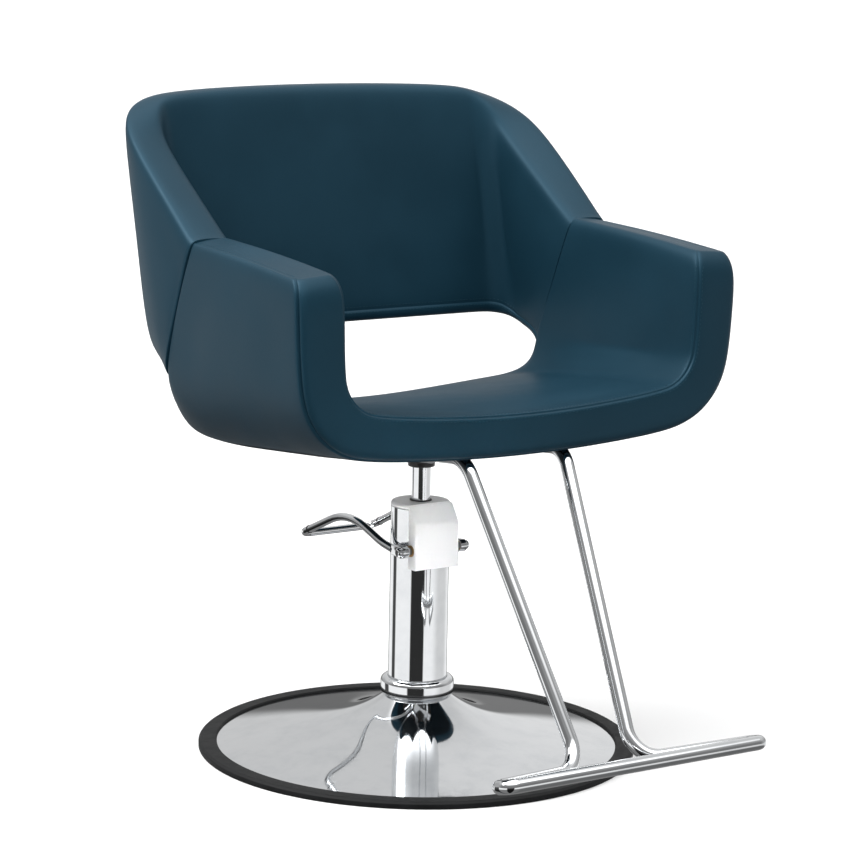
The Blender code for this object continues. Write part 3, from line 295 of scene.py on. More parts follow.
# %% [markdown]
# ## Studio
# Chrome shows nothing but what stands round it, so the tent comes before the lamps. It could be a room of
# white planes; here its glow is worked out from the direction of each ray, which has no edges and is
# quick to change. The tent has one opening, where the camera looks in: it draws the dark upright line
# down every chromed round, a little to the left of its middle. A slit far to the left draws the thinner
# line beside it, and the wall behind the chair is dim close to the floor, which gives the dome its grey.
# To the lens itself the tent is plain white.

# %% White tent
world = bpy.data.worlds.new("white_tent")
world.use_nodes = True
scene.world = world
tent = world.node_tree
way = Wire(tent.nodes.new("ShaderNodeTexCoord").outputs["Generated"])
toward = way.along((-0.5565, -0.8309, 0.0))
across = way.along((0.8309, -0.5565, 0.0))
height = way.axis("Z")
bearing = way.math("ARCTAN2", across, toward)

# The wall and the bright cloth overhead, which hangs lower on the camera's side and is brightest on the left.
rear = 1.0 - toward.step(-0.45, 0.25)
behind = 1.0 - toward.step(-0.95, -0.60)
dim = behind * (1.0 - height.step(0.05, 0.14)) + (1.0 - behind) * (1.0 - height.step(0.25, 0.50))
wall = 0.30 + 0.32 * rear + 0.16 * behind * across.step(-0.05, 0.06)
wall = wall * (1.0 - (0.35 + 0.4 * behind) * dim)
sky = rear * height.step(0.80, 0.98) + (1.0 - rear) * height.step(0.58, 0.78)
left = 1.0 - across.step(-0.6, -0.1)
upper = wall * (1.0 - sky) + (2.6 + 1.9 * left) * sky

# The white skirt below the horizon with its opening, its slit and a soft shade on the right.
opening = bearing.span((-0.58, -0.50), (0.34, 0.42))
slit = bearing.span((-2.16, -2.06), (-1.80, -1.70))
shade = bearing.span((0.9, 1.5), (2.0, 2.6))
lower = 1.0 - 0.97 * opening - 0.93 * slit - 0.3 * shade
lower = lower * (0.2 + 0.8 * height.step(-0.50, -0.30))
lower = lower * (0.3 + 0.7 * toward.step(-0.95, -0.80))
glow = height.step(-0.13, -0.08) * (upper - lower) + lower

backdrop = way.node("ShaderNodeLightPath", {}, output="Is Camera Ray")
glow = glow + backdrop * (1.0 - glow)
background = tent.nodes["Background"]
background.inputs["Color"].default_value = (1.0, 1.0, 1.0, 1.0)
tent.links.new(glow.socket, background.inputs["Strength"])
print("tent of", len(tent.nodes), "nodes")

# %% [markdown]
# The floor is a wide pale disc. A white floor throws much light up under a dark seat, more than the
# photograph shows, so this one is white to the lens but returns little of the light that falls on it.
# Chrome doesn't see it at all, because the skirt of the tent already stands for it there.

# %% Floor
floor_radius = 60.0
bm = bmesh.new()
bmesh.ops.create_circle(bm, cap_ends=True, radius=floor_radius, segments=96)
floor_mesh = bpy.data.meshes.new("floor")
bm.to_mesh(floor_mesh)
bm.free()
floor = bpy.data.objects.new("floor", floor_mesh)
scene.collection.objects.link(floor)
shader, place = new_finish("floor_paint", Roughness=0.7, Specular_IOR_Level=0.2)
pale = place.noise(3.0, 2.0).mix((0.93, 0.93, 0.93, 1), (0.95, 0.95, 0.95, 1))
bounced = place.node("ShaderNodeLightPath", {}, output="Is Diffuse Ray")
plug(shader, Base_Color=bounced.mix(pale, (0.30, 0.30, 0.30, 1)))
floor_mesh.materials.append(finishes["floor_paint"])
floor.visible_glossy = False
print("floor radius", floor_radius)

# %% [markdown]
# Three lamps behind round cloths model the padding. A wide one hangs high at the left and lights the arm
# tops, a wide one stands low in front and fills the panels that face the camera, and a small one with a
# narrow beam lifts the pump head alone. Area lamps are used because their width sets how soft a shadow
# is; only the high one shows in shiny surfaces, so that the chrome keeps the tent's clean lines.

# %% Lamps
# Each lamp: name, watts, width, spread in degrees, place, height of the point it looks at.
lamps = [
    ("ceiling_cloth", 60.0, 2.0, 180, (-2.2, 0.8, 2.6), 0.6),
    ("front_cloth", 25.0, 2.0, 180, (-1.6, -2.9, 0.75), 0.6),
    ("low_cloth", 0.15, 0.3, 8, (-1.0, -1.9, 0.72), 0.28),
]
for name, watts, width, spread, place_at, aim_z in lamps:
    lamp = bpy.data.lights.new(name, "AREA")
    lamp.shape = "DISK"
    lamp.size = width
    lamp.energy = watts
    lamp.spread = radians(spread)
    cloth_lamp = bpy.data.objects.new(name, lamp)
    cloth_lamp.location = place_at
    aim = Vector((0, 0, aim_z)) - cloth_lamp.location
    cloth_lamp.rotation_euler = aim.to_track_quat("-Z", "Y").to_euler()
    cloth_lamp.visible_glossy = name == "ceiling_cloth"
    scene.collection.objects.link(cloth_lamp)
    print(name, watts, "W")
scene.view_settings.view_transform = "Standard"

# %% [markdown]
# ## Workshop tools
# Almost every metal piece was either turned on a lathe, bent from tube, or cut from a block, so three
# helpers cover them: one spins an outline, one sweeps a round along a path, one extrudes an outline and
# rounds it. All of them need corners with a true radius, which a maker would give, so that helper comes
# first.


# %% Paths with rounded corners
def eased(corners, radii, closed=False, step=radians(7)):
    """A path whose corners are rounded by tangent arcs; a radius of 0 keeps the corner."""
    corners = [Vector(corner) for corner in corners]
    count = len(corners)
    points = []
    for i, (corner, radius) in enumerate(zip(corners, radii)):
        inside = closed or 0 < i < count - 1
        if radius == 0 or not inside:
            points.append(corner)
            continue
        arriving = (corner - corners[i - 1]).normalized()
        leaving = (corners[(i + 1) % count] - corner).normalized()
        angle = arriving.angle(leaving)
        centre = corner + (leaving - arriving).normalized() * (radius / cos(angle / 2))
        start = corner - arriving * (radius * tan(angle / 2)) - centre
        steps = max(3, ceil(angle / step))
        axis = arriving.cross(leaving)
        for k in range(steps + 1):
            points.append(centre + Matrix.Rotation(angle * k / steps, 3, axis) @ start)
    return points


def turned_outline(corners, closed):
    """Corners given as (radius, height, rounding) become the points of a turned outline."""
    points = [(r, 0.0, z) for r, z, _ in corners]
    return eased(points, [rounding for _, _, rounding in corners], closed)


def ring_of(*corners):
    """The closed outline of a ring."""
    return turned_outline(corners, True)


def rod_of(*corners):
    """The open outline of a rod, from the axis out and back to it."""
    return turned_outline(corners, False)


quarter = eased([(0, 0, 0), (1, 0, 0), (1, 1, 0)], [0, 0.5, 0])
print("a quarter round has", len(quarter) - 2, "points")

# %% [markdown]
# A finished piece is shaded softly but keeps its edges wherever two faces meet at a clear angle, as filed
# metal does. Each is tied to the body that it moves with and to the solid that it hides, so that the
# joints of the engineering model move the finished chair too.


# %% Pieces and the bodies they move with
def new_piece(name, bm, sharp=radians(32)):
    """Turns a worked mesh into an object with soft shading that keeps its sharp edges."""
    mesh = bpy.data.meshes.new(name)
    bm.to_mesh(mesh)
    bm.free()
    mesh.shade_smooth()
    mesh.set_sharp_from_angle(angle=sharp)
    made = bpy.data.objects.new(name, mesh)
    scene.collection.objects.link(made)
    return made


def fit(made, finish, slot, body, *replaced):
    """Gives a piece its finish and its body, and hides the solids it stands for. The slot argument is not
    used.
    """
    made.data.materials.clear()
    made.data.materials.append(finishes[finish])
    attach(made, body)
    if replaced:
        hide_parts(*replaced)
    print(made.name, "on", body, "faces", len(made.data.polygons))
    return made


# %% [markdown]
# A spun outline can come out inside out, so its doubles are merged and its faces turned outwards
# afterwards. A bent tube is a curve with a round bevel, which keeps the round true at every corner. A cut
# is a boolean with a tool that is thrown away when the cut is made.

# %% Turned, bent and cut shapes
same_point = 1e-6


def lathe(points, ring=False, steps=128, place=Matrix()):
    """Spins an outline of (radius, 0, height) points about the upright axis, then puts it in place."""
    bm = bmesh.new()
    line = [bm.verts.new(point) for point in points]
    followers = line[1:] + line[:1] if ring else line[1:]
    for first, second in zip(line, followers):
        bm.edges.new((first, second))
    bmesh.ops.spin(bm, geom=bm.verts[:] + bm.edges[:], cent=(0, 0, 0), axis=(0, 0, 1), angle=2 * pi,
                   steps=steps, use_merge=True)
    bmesh.ops.remove_doubles(bm, verts=bm.verts, dist=same_point)
    bmesh.ops.recalc_face_normals(bm, faces=bm.faces)
    bmesh.ops.transform(bm, matrix=place, verts=bm.verts)
    return bm


def bent_tube(name, path, radius):
    """Sweeps a round along a path and closes its ends."""
    curve = bpy.data.curves.new(name, "CURVE")
    curve.dimensions = "3D"
    curve.bevel_depth = radius
    curve.bevel_resolution = 10
    curve.use_fill_caps = True
    spline = curve.splines.new("POLY")
    spline.points.add(len(path) - 1)
    for point, corner in zip(spline.points, path):
        point.co = (*corner, 1.0)
    swept = bpy.data.objects.new(name, curve)
    scene.collection.objects.link(swept)
    mesh = bpy.data.meshes.new_from_object(swept.evaluated_get(bpy.context.evaluated_depsgraph_get()))
    bpy.data.objects.remove(swept)
    bm = bmesh.new()
    bm.from_mesh(mesh)
    bmesh.ops.remove_doubles(bm, verts=bm.verts, dist=same_point)
    bmesh.ops.recalc_face_normals(bm, faces=bm.faces)
    return bm


def block(corners, length, rounding=0.0, segments=5):
    """Extrudes a flat outline of (y, z) corners along X, evenly to both sides, and rounds its edges."""
    bm = bmesh.new()
    face = bm.faces.new([bm.verts.new((-length / 2, y, z)) for y, z in corners])
    grown = bmesh.ops.extrude_face_region(bm, geom=[face])["geom"]
    far_side = [v for v in grown if isinstance(v, bmesh.types.BMVert)]
    bmesh.ops.translate(bm, verts=far_side, vec=(length, 0, 0))
    bmesh.ops.recalc_face_normals(bm, faces=bm.faces)
    if rounding:
        corner_edges = [edge for edge in bm.edges if edge.calc_face_angle() > radians(20)]
        bmesh.ops.bevel(bm, geom=corner_edges, offset=rounding, segments=segments, profile=0.5,
                        affect="EDGES", material=-1)
    return bm


def cut_away(made, tool, sharp=radians(32)):
    """Takes one shape out of another, marks the new sharp edges and removes the tool."""
    cut = made.modifiers.new("cut", "BOOLEAN")
    cut.operation = "DIFFERENCE"
    cut.object = tool
    mesh = bpy.data.meshes.new_from_object(made.evaluated_get(bpy.context.evaluated_depsgraph_get()))
    made.modifiers.remove(cut)
    mesh.set_sharp_from_angle(angle=sharp)
    made.data = mesh
    bpy.data.objects.remove(tool)


# %% [markdown]
# ## Base
# The dome is spun from sheet steel over a form and plated. It flares from the column almost like a bell,
# flattens toward the rim and sits on a step of the rubber ring that carries the chair on the floor. A
# curve drawn by hand would ripple in the mirror finish, so its height is a formula and its rings crowd
# together at the neck, where the bend is tight.

# %% Dome and rubber ring
dome_rim, dome_hole, rim_top, dome_peak, cone_rise = 0.2747, 0.0408, 0.0073, 0.080, 0.045
dome_sheet, dome_rings, dome_crowding, neck_power, base_steps = 0.0025, 56, 1.8, 6, 192


def dome_height(radius):
    """A shallow cone that sweeps up close to the column."""
    share = (dome_rim - radius) / (dome_rim - dome_hole)
    return rim_top + cone_rise * share + (dome_peak - rim_top - cone_rise) * share ** neck_power


shares = [(i / dome_rings) ** dome_crowding for i in range(dome_rings + 1)]
radii = [dome_hole + (dome_rim - dome_hole) * share for share in shares]
top_side = [(r, 0.0, dome_height(r)) for r in radii]
under_side = [(r, 0.0, dome_height(r) - dome_sheet) for r in reversed(radii)]
dome = new_piece("spun_dome", lathe(top_side + under_side, ring=True, steps=base_steps))
fit(dome, "chrome", "chrome", "base", "base_plate")

rubber_outline = ring_of(
    (0.2750, 0.0045, 0.0), (0.2750, 0.0080, 0.0006), (0.2768, 0.0100, 0.0012), (0.2960, 0.0100, 0.0022),
    (0.3000, 0.0072, 0.002), (0.3000, 0.0012, 0.0008), (0.2988, 0.0, 0.0005), (0.2650, 0.0, 0.0),
    (0.2650, 0.0045, 0.0))
rubber = new_piece("rubber_floor_ring", lathe(rubber_outline, ring=True, steps=base_steps))
fit(rubber, "rubber", "rubber", "base", "base_trim_ring")

# %% [markdown]
# ## Column
# The column is a plain drawn tube. A round-nosed collar hides the joint with the dome, and a cap with a
# rounded shoulder closes the top. The front is cut open for the pedal works, which the cover then hides.
# The pieces are turned first and cut afterwards, in the order of the workshop, so that the cuts leave
# true edges.

# %% Collar, tube, cap and seal
column_radius, column_bore, rod_hole = 0.0405, 0.0375, 0.0133
column_foot, column_top, cap_low, cap_top = 0.0156, 0.3390, 0.3393, 0.3453
collar_outline = ring_of(
    (0.0408, 0.0806, 0.0), (0.0408, 0.1000, 0.0006), (0.0505, 0.1000, 0.0075), (0.0505, 0.0757, 0.0038),
    (0.0462, 0.0757, 0.0))
collar = new_piece("column_collar", lathe(collar_outline, ring=True))
fit(collar, "chrome", "chrome", "base", "column_foot_ring")

tube_outline = ring_of((column_radius, column_foot, 0.0), (column_radius, column_top, 0.0008),
                       (column_bore, column_top, 0.0008), (column_bore, column_foot, 0.0))
column = new_piece("column_tube", lathe(tube_outline, ring=True))
cap_outline = ring_of((rod_hole, cap_top, 0.0006), (column_radius, cap_top, 0.0036),
                      (column_radius, cap_low, 0.0008), (rod_hole, cap_low, 0.0))
cap = new_piece("column_cap", lathe(cap_outline, ring=True))
seal_outline = ring_of((rod_hole, 0.3456, 0.0), (0.0153, 0.3456, 0.0003), (0.0150, 0.3471, 0.0006),
                       (rod_hole, 0.3471, 0.0003))


# %% [markdown]
# The window for the pedal works and the hole for its shaft go through more than one piece. One tool makes
# each opening in all of them, so that the pieces line up as if they had been cut together.

# %% Window and shaft hole
window_low, window_back, window_width = 0.2577, -0.0239, 0.0706
past_front, past_top, past_side = -0.08, 0.36, 0.1
bush_hole = 0.0081
pivot = Vector((0.0, -0.0305, 0.2835))
lie = {side: Matrix.Translation(pivot) @ Matrix.Rotation(angle, 4, "Y")
       for side, angle in (("left", -pi / 2), ("right", pi / 2))}


def window_tool():
    """The opening cut through the front of tube and cap."""
    corners = [(past_front, window_low), (window_back, window_low),
               (window_back, past_top), (past_front, past_top)]
    return new_piece("window", block(corners, window_width))


def drill(radius):
    """A long round tool along the pedal's shaft."""
    points = rod_of((0, -past_side, 0), (radius, -past_side, 0), (radius, past_side, 0), (0, past_side, 0))
    return new_piece("drill", lathe(points, steps=48, place=lie["right"]))


cut_away(column, window_tool())
cut_away(column, drill(bush_hole))
cut_away(cap, window_tool())
fit(column, "chrome", "chrome", "base", "pump_column")
fit(cap, "silver_paint", "silver_paint", "base", "top_cap")
seal = new_piece("rod_seal", lathe(seal_outline, ring=True, steps=96))
fit(seal, "black_plastic", "rubber", "base", "rod_wiper_seal")

# %% [markdown]
# ## Mechanism cover
# A pressed box with soft corners hangs on the front of the column and hides the cam. Its brow slopes back
# so that a shoe slides off it. Only the edges in front are rounded; those against the column stay sharp
# and close.

# %% Cover
cover_width, hollow_width, cover_soft = 0.070, 0.066, 0.003
flush_y, front_of_flush_y = -0.025, -0.03
cover_side = [(-0.0242, 0.258), (-0.0447, 0.258), (-0.0427, 0.321), (-0.0255, 0.344), (-0.0242, 0.344)]
hollow_side = [(-0.02, 0.260), (-0.0427, 0.260), (-0.0408, 0.3203), (-0.0250, 0.3412), (-0.02, 0.3412)]
bm = block(cover_side, cover_width)
soft_edges = [edge for edge in bm.edges if max(v.co.y for v in edge.verts) < flush_y
              and min(v.co.y for v in edge.verts) < front_of_flush_y]
bmesh.ops.bevel(bm, geom=soft_edges, offset=cover_soft, segments=5, profile=0.5, affect="EDGES", material=-1)
cover = new_piece("cover_box", bm)
cut_away(cover, new_piece("hollow", block(hollow_side, hollow_width)))
cut_away(cover, drill(bush_hole))
fit(cover, "silver_paint", "silver_paint", "base", "mechanism_cover")

# %% [markdown]
# ## Pedal
# The pedal is one length of round bar bent into a loop, so a foot finds it from either side. It leaves
# two lugs on a cross shaft, humps up behind the column and comes down to toe height at the hairdresser's
# side. Half of its path is enough; the other half is its mirror image. A thin rubber ring marks each arm
# where the toe rests.

# %% Pedal loop
lug_x, loop_spread, toe_reach, toe_drop, bar_radius = 0.047, 0.013, 0.246, -0.020, 0.0055
side_path = [(0.0237, 0.0), (0.050, 0.0045), (0.130, 0.0332), (toe_reach, toe_drop)]
half = [pivot + Vector((lug_x + loop_spread * reach / toe_reach, reach, rise)) for reach, rise in side_path]
hump, toe = half[2:]
loop = half + [Vector((-corner.x, corner.y, corner.z)) for corner in reversed(half)]
bends = [0, 0.11, 0.11, 0.018, 0.018, 0.11, 0.11, 0]
pedal = new_piece("pedal_loop", bent_tube("pedal_loop", eased(loop, bends), bar_radius))
fit(pedal, "chrome", "chrome", "pedal", "pedal_lever")
print("pedal toe height", round(pivot.z + toe_drop, 3))

# %% [markdown]
# Each end of the loop is welded to a lug, a block with a round nose and a hole across, and a round-headed
# bolt holds the lug on the shaft. Left and right are the same but for their direction, so one loop makes
# both.

# %% Lugs, bolts and toe rings
lug_radius, lug_reach, lug_half, lug_width, bolt_hole = 0.0085, 0.0225, 0.0068, 0.011, 0.0053
lug_round_from, lug_round, lug_steps, toe_ring_share = 96, 168, 20, 0.79
turns = [radians(lug_round_from + lug_round * k / lug_steps) for k in range(lug_steps + 1)]
lug = [(pivot.y + lug_radius * cos(turn), pivot.z + lug_radius * sin(turn)) for turn in turns]
lug += [(pivot.y + lug_reach, pivot.z - lug_half), (pivot.y + lug_reach, pivot.z + lug_half)]
bolt_outline = rod_of((0.0, 0.0578, 0.0), (0.0046, 0.0578, 0.0022), (0.0065, 0.0555, 0.0012),
                      (0.0065, 0.0528, 0.0), (0.0027, 0.0528, 0.0), (0.0027, 0.0428, 0.0), (0.0, 0.0428, 0.0))
ring_outline = ring_of((0.0054, -0.0008, 0.0), (0.0061, -0.0008, 0.0003), (0.0061, 0.0008, 0.0003),
                       (0.0054, 0.0008, 0.0))
for side, way_out in (("left", -1), ("right", 1)):
    bm = block(lug, lug_width, 0.0012, segments=3)
    bmesh.ops.translate(bm, verts=bm.verts, vec=(way_out * lug_x, 0, 0))
    hub = new_piece("pedal_lug_" + side, bm)
    cut_away(hub, drill(bolt_hole))
    fit(hub, "chrome", "chrome", "pedal", "pedal_hub_" + side)
    bolt = new_piece("pedal_bolt_round_" + side, lathe(bolt_outline, steps=64, place=lie[side]))
    fit(bolt, "chrome", "chrome", "pedal", "pedal_bolt_" + side)
    from_hump, to_toe = [Vector((way_out * corner.x, corner.y, corner.z)) for corner in (hump, toe)]
    along = (to_toe - from_hump).normalized().to_track_quat("Z", "Y").to_matrix().to_4x4()
    stand = Matrix.Translation(from_hump.lerp(to_toe, toe_ring_share)) @ along
    toe_ring = new_piece("pedal_ring_" + side, lathe(ring_outline, ring=True, steps=48, place=stand))
    fit(toe_ring, "rubber", "rubber", "pedal")

# %% [markdown]
# ## Rod and hub
# The piston rod is ground and hard-chromed. A cast hub grips it under the seat; its top is faced off at
# the seat's slope, so the chair leans back while the rod stands upright. Both are turned, and one
# slanting cut through the hub then makes that face, as on the real casting.

# %% Rod and seat hub
seat_height, hub_face = 0.4355, -0.0066
seat_frame = Matrix.Translation((0, 0, seat_height)) @ Matrix.Rotation(-atan(seat_tilt), 4, "X")
rod_outline = rod_of((0.0, 0.4107, 0.0), (0.0130, 0.4107, 0.001), (0.0130, 0.0543, 0.001),
                     (0.0060, 0.0543, 0.0), (0.0060, 0.0278, 0.0008), (0.0, 0.0278, 0.0))
rod = new_piece("ground_rod", lathe(rod_outline))
fit(rod, "chrome", "chrome", "chair", "piston_rod")

hub_outline = rod_of((0.0, 0.4400, 0.0), (0.0320, 0.4400, 0.0), (0.0320, 0.4055, 0.003),
                     (0.0185, 0.3990, 0.003), (0.0185, 0.3930, 0.0014), (rod_hole, 0.3930, 0.0),
                     (rod_hole, 0.4110, 0.0), (0.0, 0.4110, 0.0))
bm = lathe(hub_outline)
face_point = seat_frame @ Vector((0, 0, hub_face))
face_way = seat_frame.to_3x3() @ Vector((0, 0, 1))
cut = bmesh.ops.bisect_plane(bm, geom=bm.verts[:] + bm.edges[:] + bm.faces[:], plane_co=face_point,
                             plane_no=face_way, clear_outer=True)["geom_cut"]
bmesh.ops.contextual_create(bm, geom=[edge for edge in cut if isinstance(edge, bmesh.types.BMEdge)])
bmesh.ops.recalc_face_normals(bm, faces=bm.faces)
fit(new_piece("seat_hub_cast", bm), "black_paint", "black_paint", "chair", "seat_hub")

# %% [markdown]
# ## Footrest
# One tube makes the whole footrest: two arms come forward from under the seat, drop to the heels, spread
# into a bar, turn back on themselves at the ends and meet again in front. It is bent cold and plated in
# one piece, so it is swept in one piece too, with the radius of the bending tool at each corner.

# %% Footrest tube
tube_radius, tube_x, tube_sink, tail_y, knee_y = 0.0095, 0.0785, -0.0098, 0.065, -0.217
heel_x, heel_y, heel_z, toe_rise = 0.041, -0.4357, 0.083, 0.28
bar_y, bar_gap, bar_end = -0.5005, 0.024, 0.1975
knee_bend, turn_back = 0.04, 0.43 * bar_gap
tail = seat_frame @ Vector((tube_x, tail_y, tube_sink))
knee = seat_frame @ Vector((tube_x, knee_y, tube_sink))
flat_run = [(heel_x, heel_y), (bar_end, bar_y + bar_gap), (bar_end, bar_y)]
half = [tail, knee] + [Vector((x, y, heel_z + toe_rise * (heel_y - y))) for x, y in flat_run]
route = half + [Vector((-corner.x, corner.y, corner.z)) for corner in reversed(half)]
bends = [0, knee_bend, knee_bend, turn_back, turn_back]
route = eased(route, bends + bends[::-1])
footrest = new_piece("footrest_bent_tube", bent_tube("footrest", route, tube_radius))
fit(footrest, "chrome", "chrome", "chair", "footrest_tube")
print("footrest reach", round(max(-v.co.y for v in footrest.data.vertices), 3))

# %% [markdown]
# ## Upholstery cages
# The padded pieces start as cages: cross sections, one after the other, along the way the cover is
# wrapped. Sculpting would give softer forms, but nobody could change a size afterwards; a cage of
# sections follows the solids and keeps their sizes. A seam is three close rows of points with the middle
# row pulled in, as a stitched cover is pulled into its foam. Rows marked still keep their place when the
# cover is filled later.

# %% Outline of the seat band
row_names = ["lip", "front", "arm_top", "hem", "still"]
edge_round = 0.008
front_y, arm_top_z, arm_rise, arm_bow, arm_lean, seat_crown = -0.243, 0.695, 0.063, 0.003, 0.0065, 0.005
outer_taper, inner_taper, seat_top_tilt, inner_half = 0.094, 0.030, 0.108, 0.2725
seam_top_y, seam_top_z, seam_lean, seam_gap = 0.045, 0.713, 0.414, 0.0003


def between(first, second, share):
    return first + (second - first) * share


def u_outline(floor_z, crown, corner_radius, corner_half_width, half_width):
    """Half of a U seen from the front, as (x, z) stations from the middle of the floor to the arm top."""
    arc_x = corner_half_width - corner_radius
    slope = 0.0
    for _ in range(8):
        touch_x = arc_x + corner_radius * sin(atan(slope))
        slope = 2 * crown * touch_x
    arc_z = floor_z + crown * touch_x ** 2 + corner_radius * cos(atan(slope))
    floor_part = [(share * touch_x, floor_z + crown * (share * touch_x) ** 2) for share in (0.0, 0.35, 0.7)]
    turns = [between(atan(slope) - pi / 2, 0.0, k / 4) for k in range(5)]
    corner = [(arc_x + corner_radius * cos(t), arc_z + corner_radius * sin(t)) for t in turns]
    wall_part = [(between(corner_half_width, half_width, 0.8), between(arc_z, arm_top_z, 0.45))]
    wall_part += [(half_width, arm_top_z - edge_round), (half_width, arm_top_z)]
    return floor_part + corner + wall_part


outer_line = u_outline(floor_z=0.4462, crown=under_crown, corner_radius=0.107, corner_half_width=0.340,
                       half_width=0.345)
inner_line = u_outline(floor_z=0.505, crown=0.289, corner_radius=0.054, corner_half_width=inner_half,
                       half_width=0.275)
print("stations of the band:", len(outer_line))

# %% [markdown]
# The band ends in two ways. Under the back it runs out into a free lip, thin at the slot; at the arms it
# is closed on the slanting seam, on the same plane as the end of the back, so that the two meet in a fine
# line.


# %% Rear edge of the seat band
def seam_y(z):
    """How far back the slanting seam between arm and back stands at height z."""
    return seam_top_y + seam_lean * (seam_top_z - z)


def rear_edge(outer_seam, inner_seam, thickness, lip_share, free):
    """The rear edge of the band, as (depth, share): free at the slot, else closed on the seam."""
    if free:
        lip = between(0.100, 0.205, lip_share)
        tail = between(0.165, 0.205, lip_share)
        heel = between(0.080, 0.115, lip_share)
        rows = [(tail - 1.5 * heel, 0.0), (tail - heel, 0.0), (tail - 0.25 * heel, 0.14),
                (between(tail, lip, 0.35), 0.48), (between(tail, lip, 0.8), 0.86), (lip - edge_round, 0.97),
                (lip - 4 * edge_round, 1.0)]
    else:
        outside, inside, strip = 0.0012, 0.0008, 0.012
        rows = [(outer_seam - strip, 0.0), (outer_seam - outside, 0.0), (outer_seam, outside / thickness),
                (between(outer_seam, inner_seam, 0.5), 0.5), (inner_seam, 1 - inside / thickness),
                (inner_seam - inside, 1.0), (inner_seam - strip, 1.0)]
    return [(y - front_y, share) for y, share in rows]


print("seam between arm and back leans", round(seam_lean, 3), "m per m")

# %% [markdown]
# The front panel stands proud with a rounded rim, and the outer panel is sewn on behind that rim in a
# tight valley. A stitched seam runs along the lip of the seat and up both arms; the arm tops carry one
# more, near their outer edge. The rows of each section give these seams; the arm tops are closed by rings
# that step inwards.

# %% Cross section of the seat band
# Rows as (depth behind the front, distance in from the skin, seam).
front_rim = [(0.0, 0.0170, None), (0.0012, 0.0090, None), (0.0046, 0.0040, None), (0.0082, 0.0030, None),
             (0.0106, 0.0080, "front"), (0.0116, 0.0005, None), (0.0132, 0.0, None)]
seat_lip = [(0.0120, 0.0, None), (0.0044, 0.0010, None), (0.0054, 0.0054, "lip"), (0.0010, 0.0044, None),
            (0.0, 0.0120, None)]


def band_section(rear, thickness):
    """One cross section of the band as (depth, share, seam), from the rim round the rear edge to the lip."""
    start, finish = rear[0][0], rear[-1][0]
    section = [(depth, down / thickness, seam) for depth, down, seam in front_rim]
    section += [(0.4 * start, 0.0, None), (0.7 * start, 0.0, None)]
    section += [(depth, share, None) for depth, share in rear]
    section += [(0.66 * finish, 1.0, "puff"), (0.33 * finish, 1.0, "puff")]
    section += [(depth, 1.0 - down / thickness, seam) for depth, down, seam in seat_lip]
    return section


print("points of a section:", len(band_section(rear_edge(0.0, 0.0, 1.0, 0.0, False), 1.0)))

# %% [markdown]
# Every station of the U gets its section. The floor follows the slope of the seat, the walls follow the
# slope of the arms, and the stations in the corner take a share of each. The last sections step inwards
# and close the arm tops.

# %% Cage of the seat band
last_free, top_edge, cap_station = 5, 9, 10
lean_width, nose_drop, nose_run, rim_depth, seam_strip = 0.7, 0.010, 0.03, 0.014, 0.013
wall_share = [0.0, 0.0, 0.0, 0.0, 0.02, 0.14, 0.36, 0.6, 0.8, 1.0, 1.0]
lip_share = [1.0, 1.0, 1.0, 0.85, 0.42, 0.08, 0.0, 0.0, 0.0, 0.0, 0.0]
# Insets of the rings that close the arm top: outside, inside, front, rear, and how far the seam row drops.
flat = (0.0, 0.0, 0.0, 0.0, 0.0)
arm_cap = [(0.0055, 0.009, 0.016, -0.0030, 0.0), (0.0075, 0.013, 0.021, -0.0030, 0.0),
           (0.0095, 0.017, 0.025, -0.0030, 0.0014), (0.0115, 0.021, 0.029, -0.0030, 0.0)]


def band_loop(i, outside, inside, front, rear_inset, drop):
    """One section of the band's cage at station i, as (place, row name)."""
    outer, inner, wall = outer_line[i], inner_line[i], wall_share[i]
    thickness = (Vector(outer) - Vector(inner)).length
    outer_slope = between(-seat_tilt, arm_rise, wall)
    inner_slope = between(-seat_top_tilt, arm_rise, wall)
    reach = seam_top_y - front_y
    seam_heights = (outer[1] + outer_slope * reach, inner[1] + inner_slope * reach)
    seams = [seam_y(min(z, seam_top_z)) - seam_gap / 2 for z in seam_heights]
    full = min(seams) - front_y
    rear = rear_edge(*seams, thickness, lip_share[i], i <= last_free)
    loop = []
    for depth, share, row in band_section(rear, thickness):
        on_outside = share == 0.0
        if front:
            depth = front + min(depth, full) * (1 - (front + rear_inset) / full)
            share = between(outside / thickness, 1 - inside / thickness, share)
        outer_x = outer[0] * (1 - wall * outer_taper * depth)
        inner_x = inner[0] * (1 - wall * inner_taper * depth)
        along = min(depth / reach, 1.0)
        z = between(outer[1] + outer_slope * depth, inner[1] + inner_slope * depth, share)
        z += 4 * arm_bow * wall * along * (1 - along)
        if i >= top_edge:
            z -= arm_lean * max(0.0, 1 - share / lean_width) ** 2
        if i == top_edge:
            z -= nose_drop * max(0.0, 1 - depth / nose_run)
        if row == "puff":
            z += seat_crown * max(0.0, 1 - i / last_free)
        if drop and on_outside:
            z -= drop
            row = "arm_top"
        elif front or row == "puff":
            row = None
        at_edge = depth < rim_depth or 0.0 < share < 1.0 or i > last_free and depth > full - seam_strip
        if not row and (i >= top_edge or at_edge):
            row = "still"
        loop.append(((between(outer_x, inner_x, share), front_y + depth, z), row))
    return loop


band = [band_loop(i, *flat) for i in range(cap_station)]
band += [band_loop(cap_station, *insets) for insets in arm_cap]
print("band cage:", len(band), "sections of", len(band[0]), "points")

# %% [markdown]
# The back wraps round from arm to arm. Its lower edge hangs free over the slot behind the seat, with a
# hem stitched twice along the inside; its two ends meet the arms on the slanting seam. In plan it is a U
# with round corners that leans back as it rises, so a point is found from its station along the U, its
# height and its share of the way through the padding.

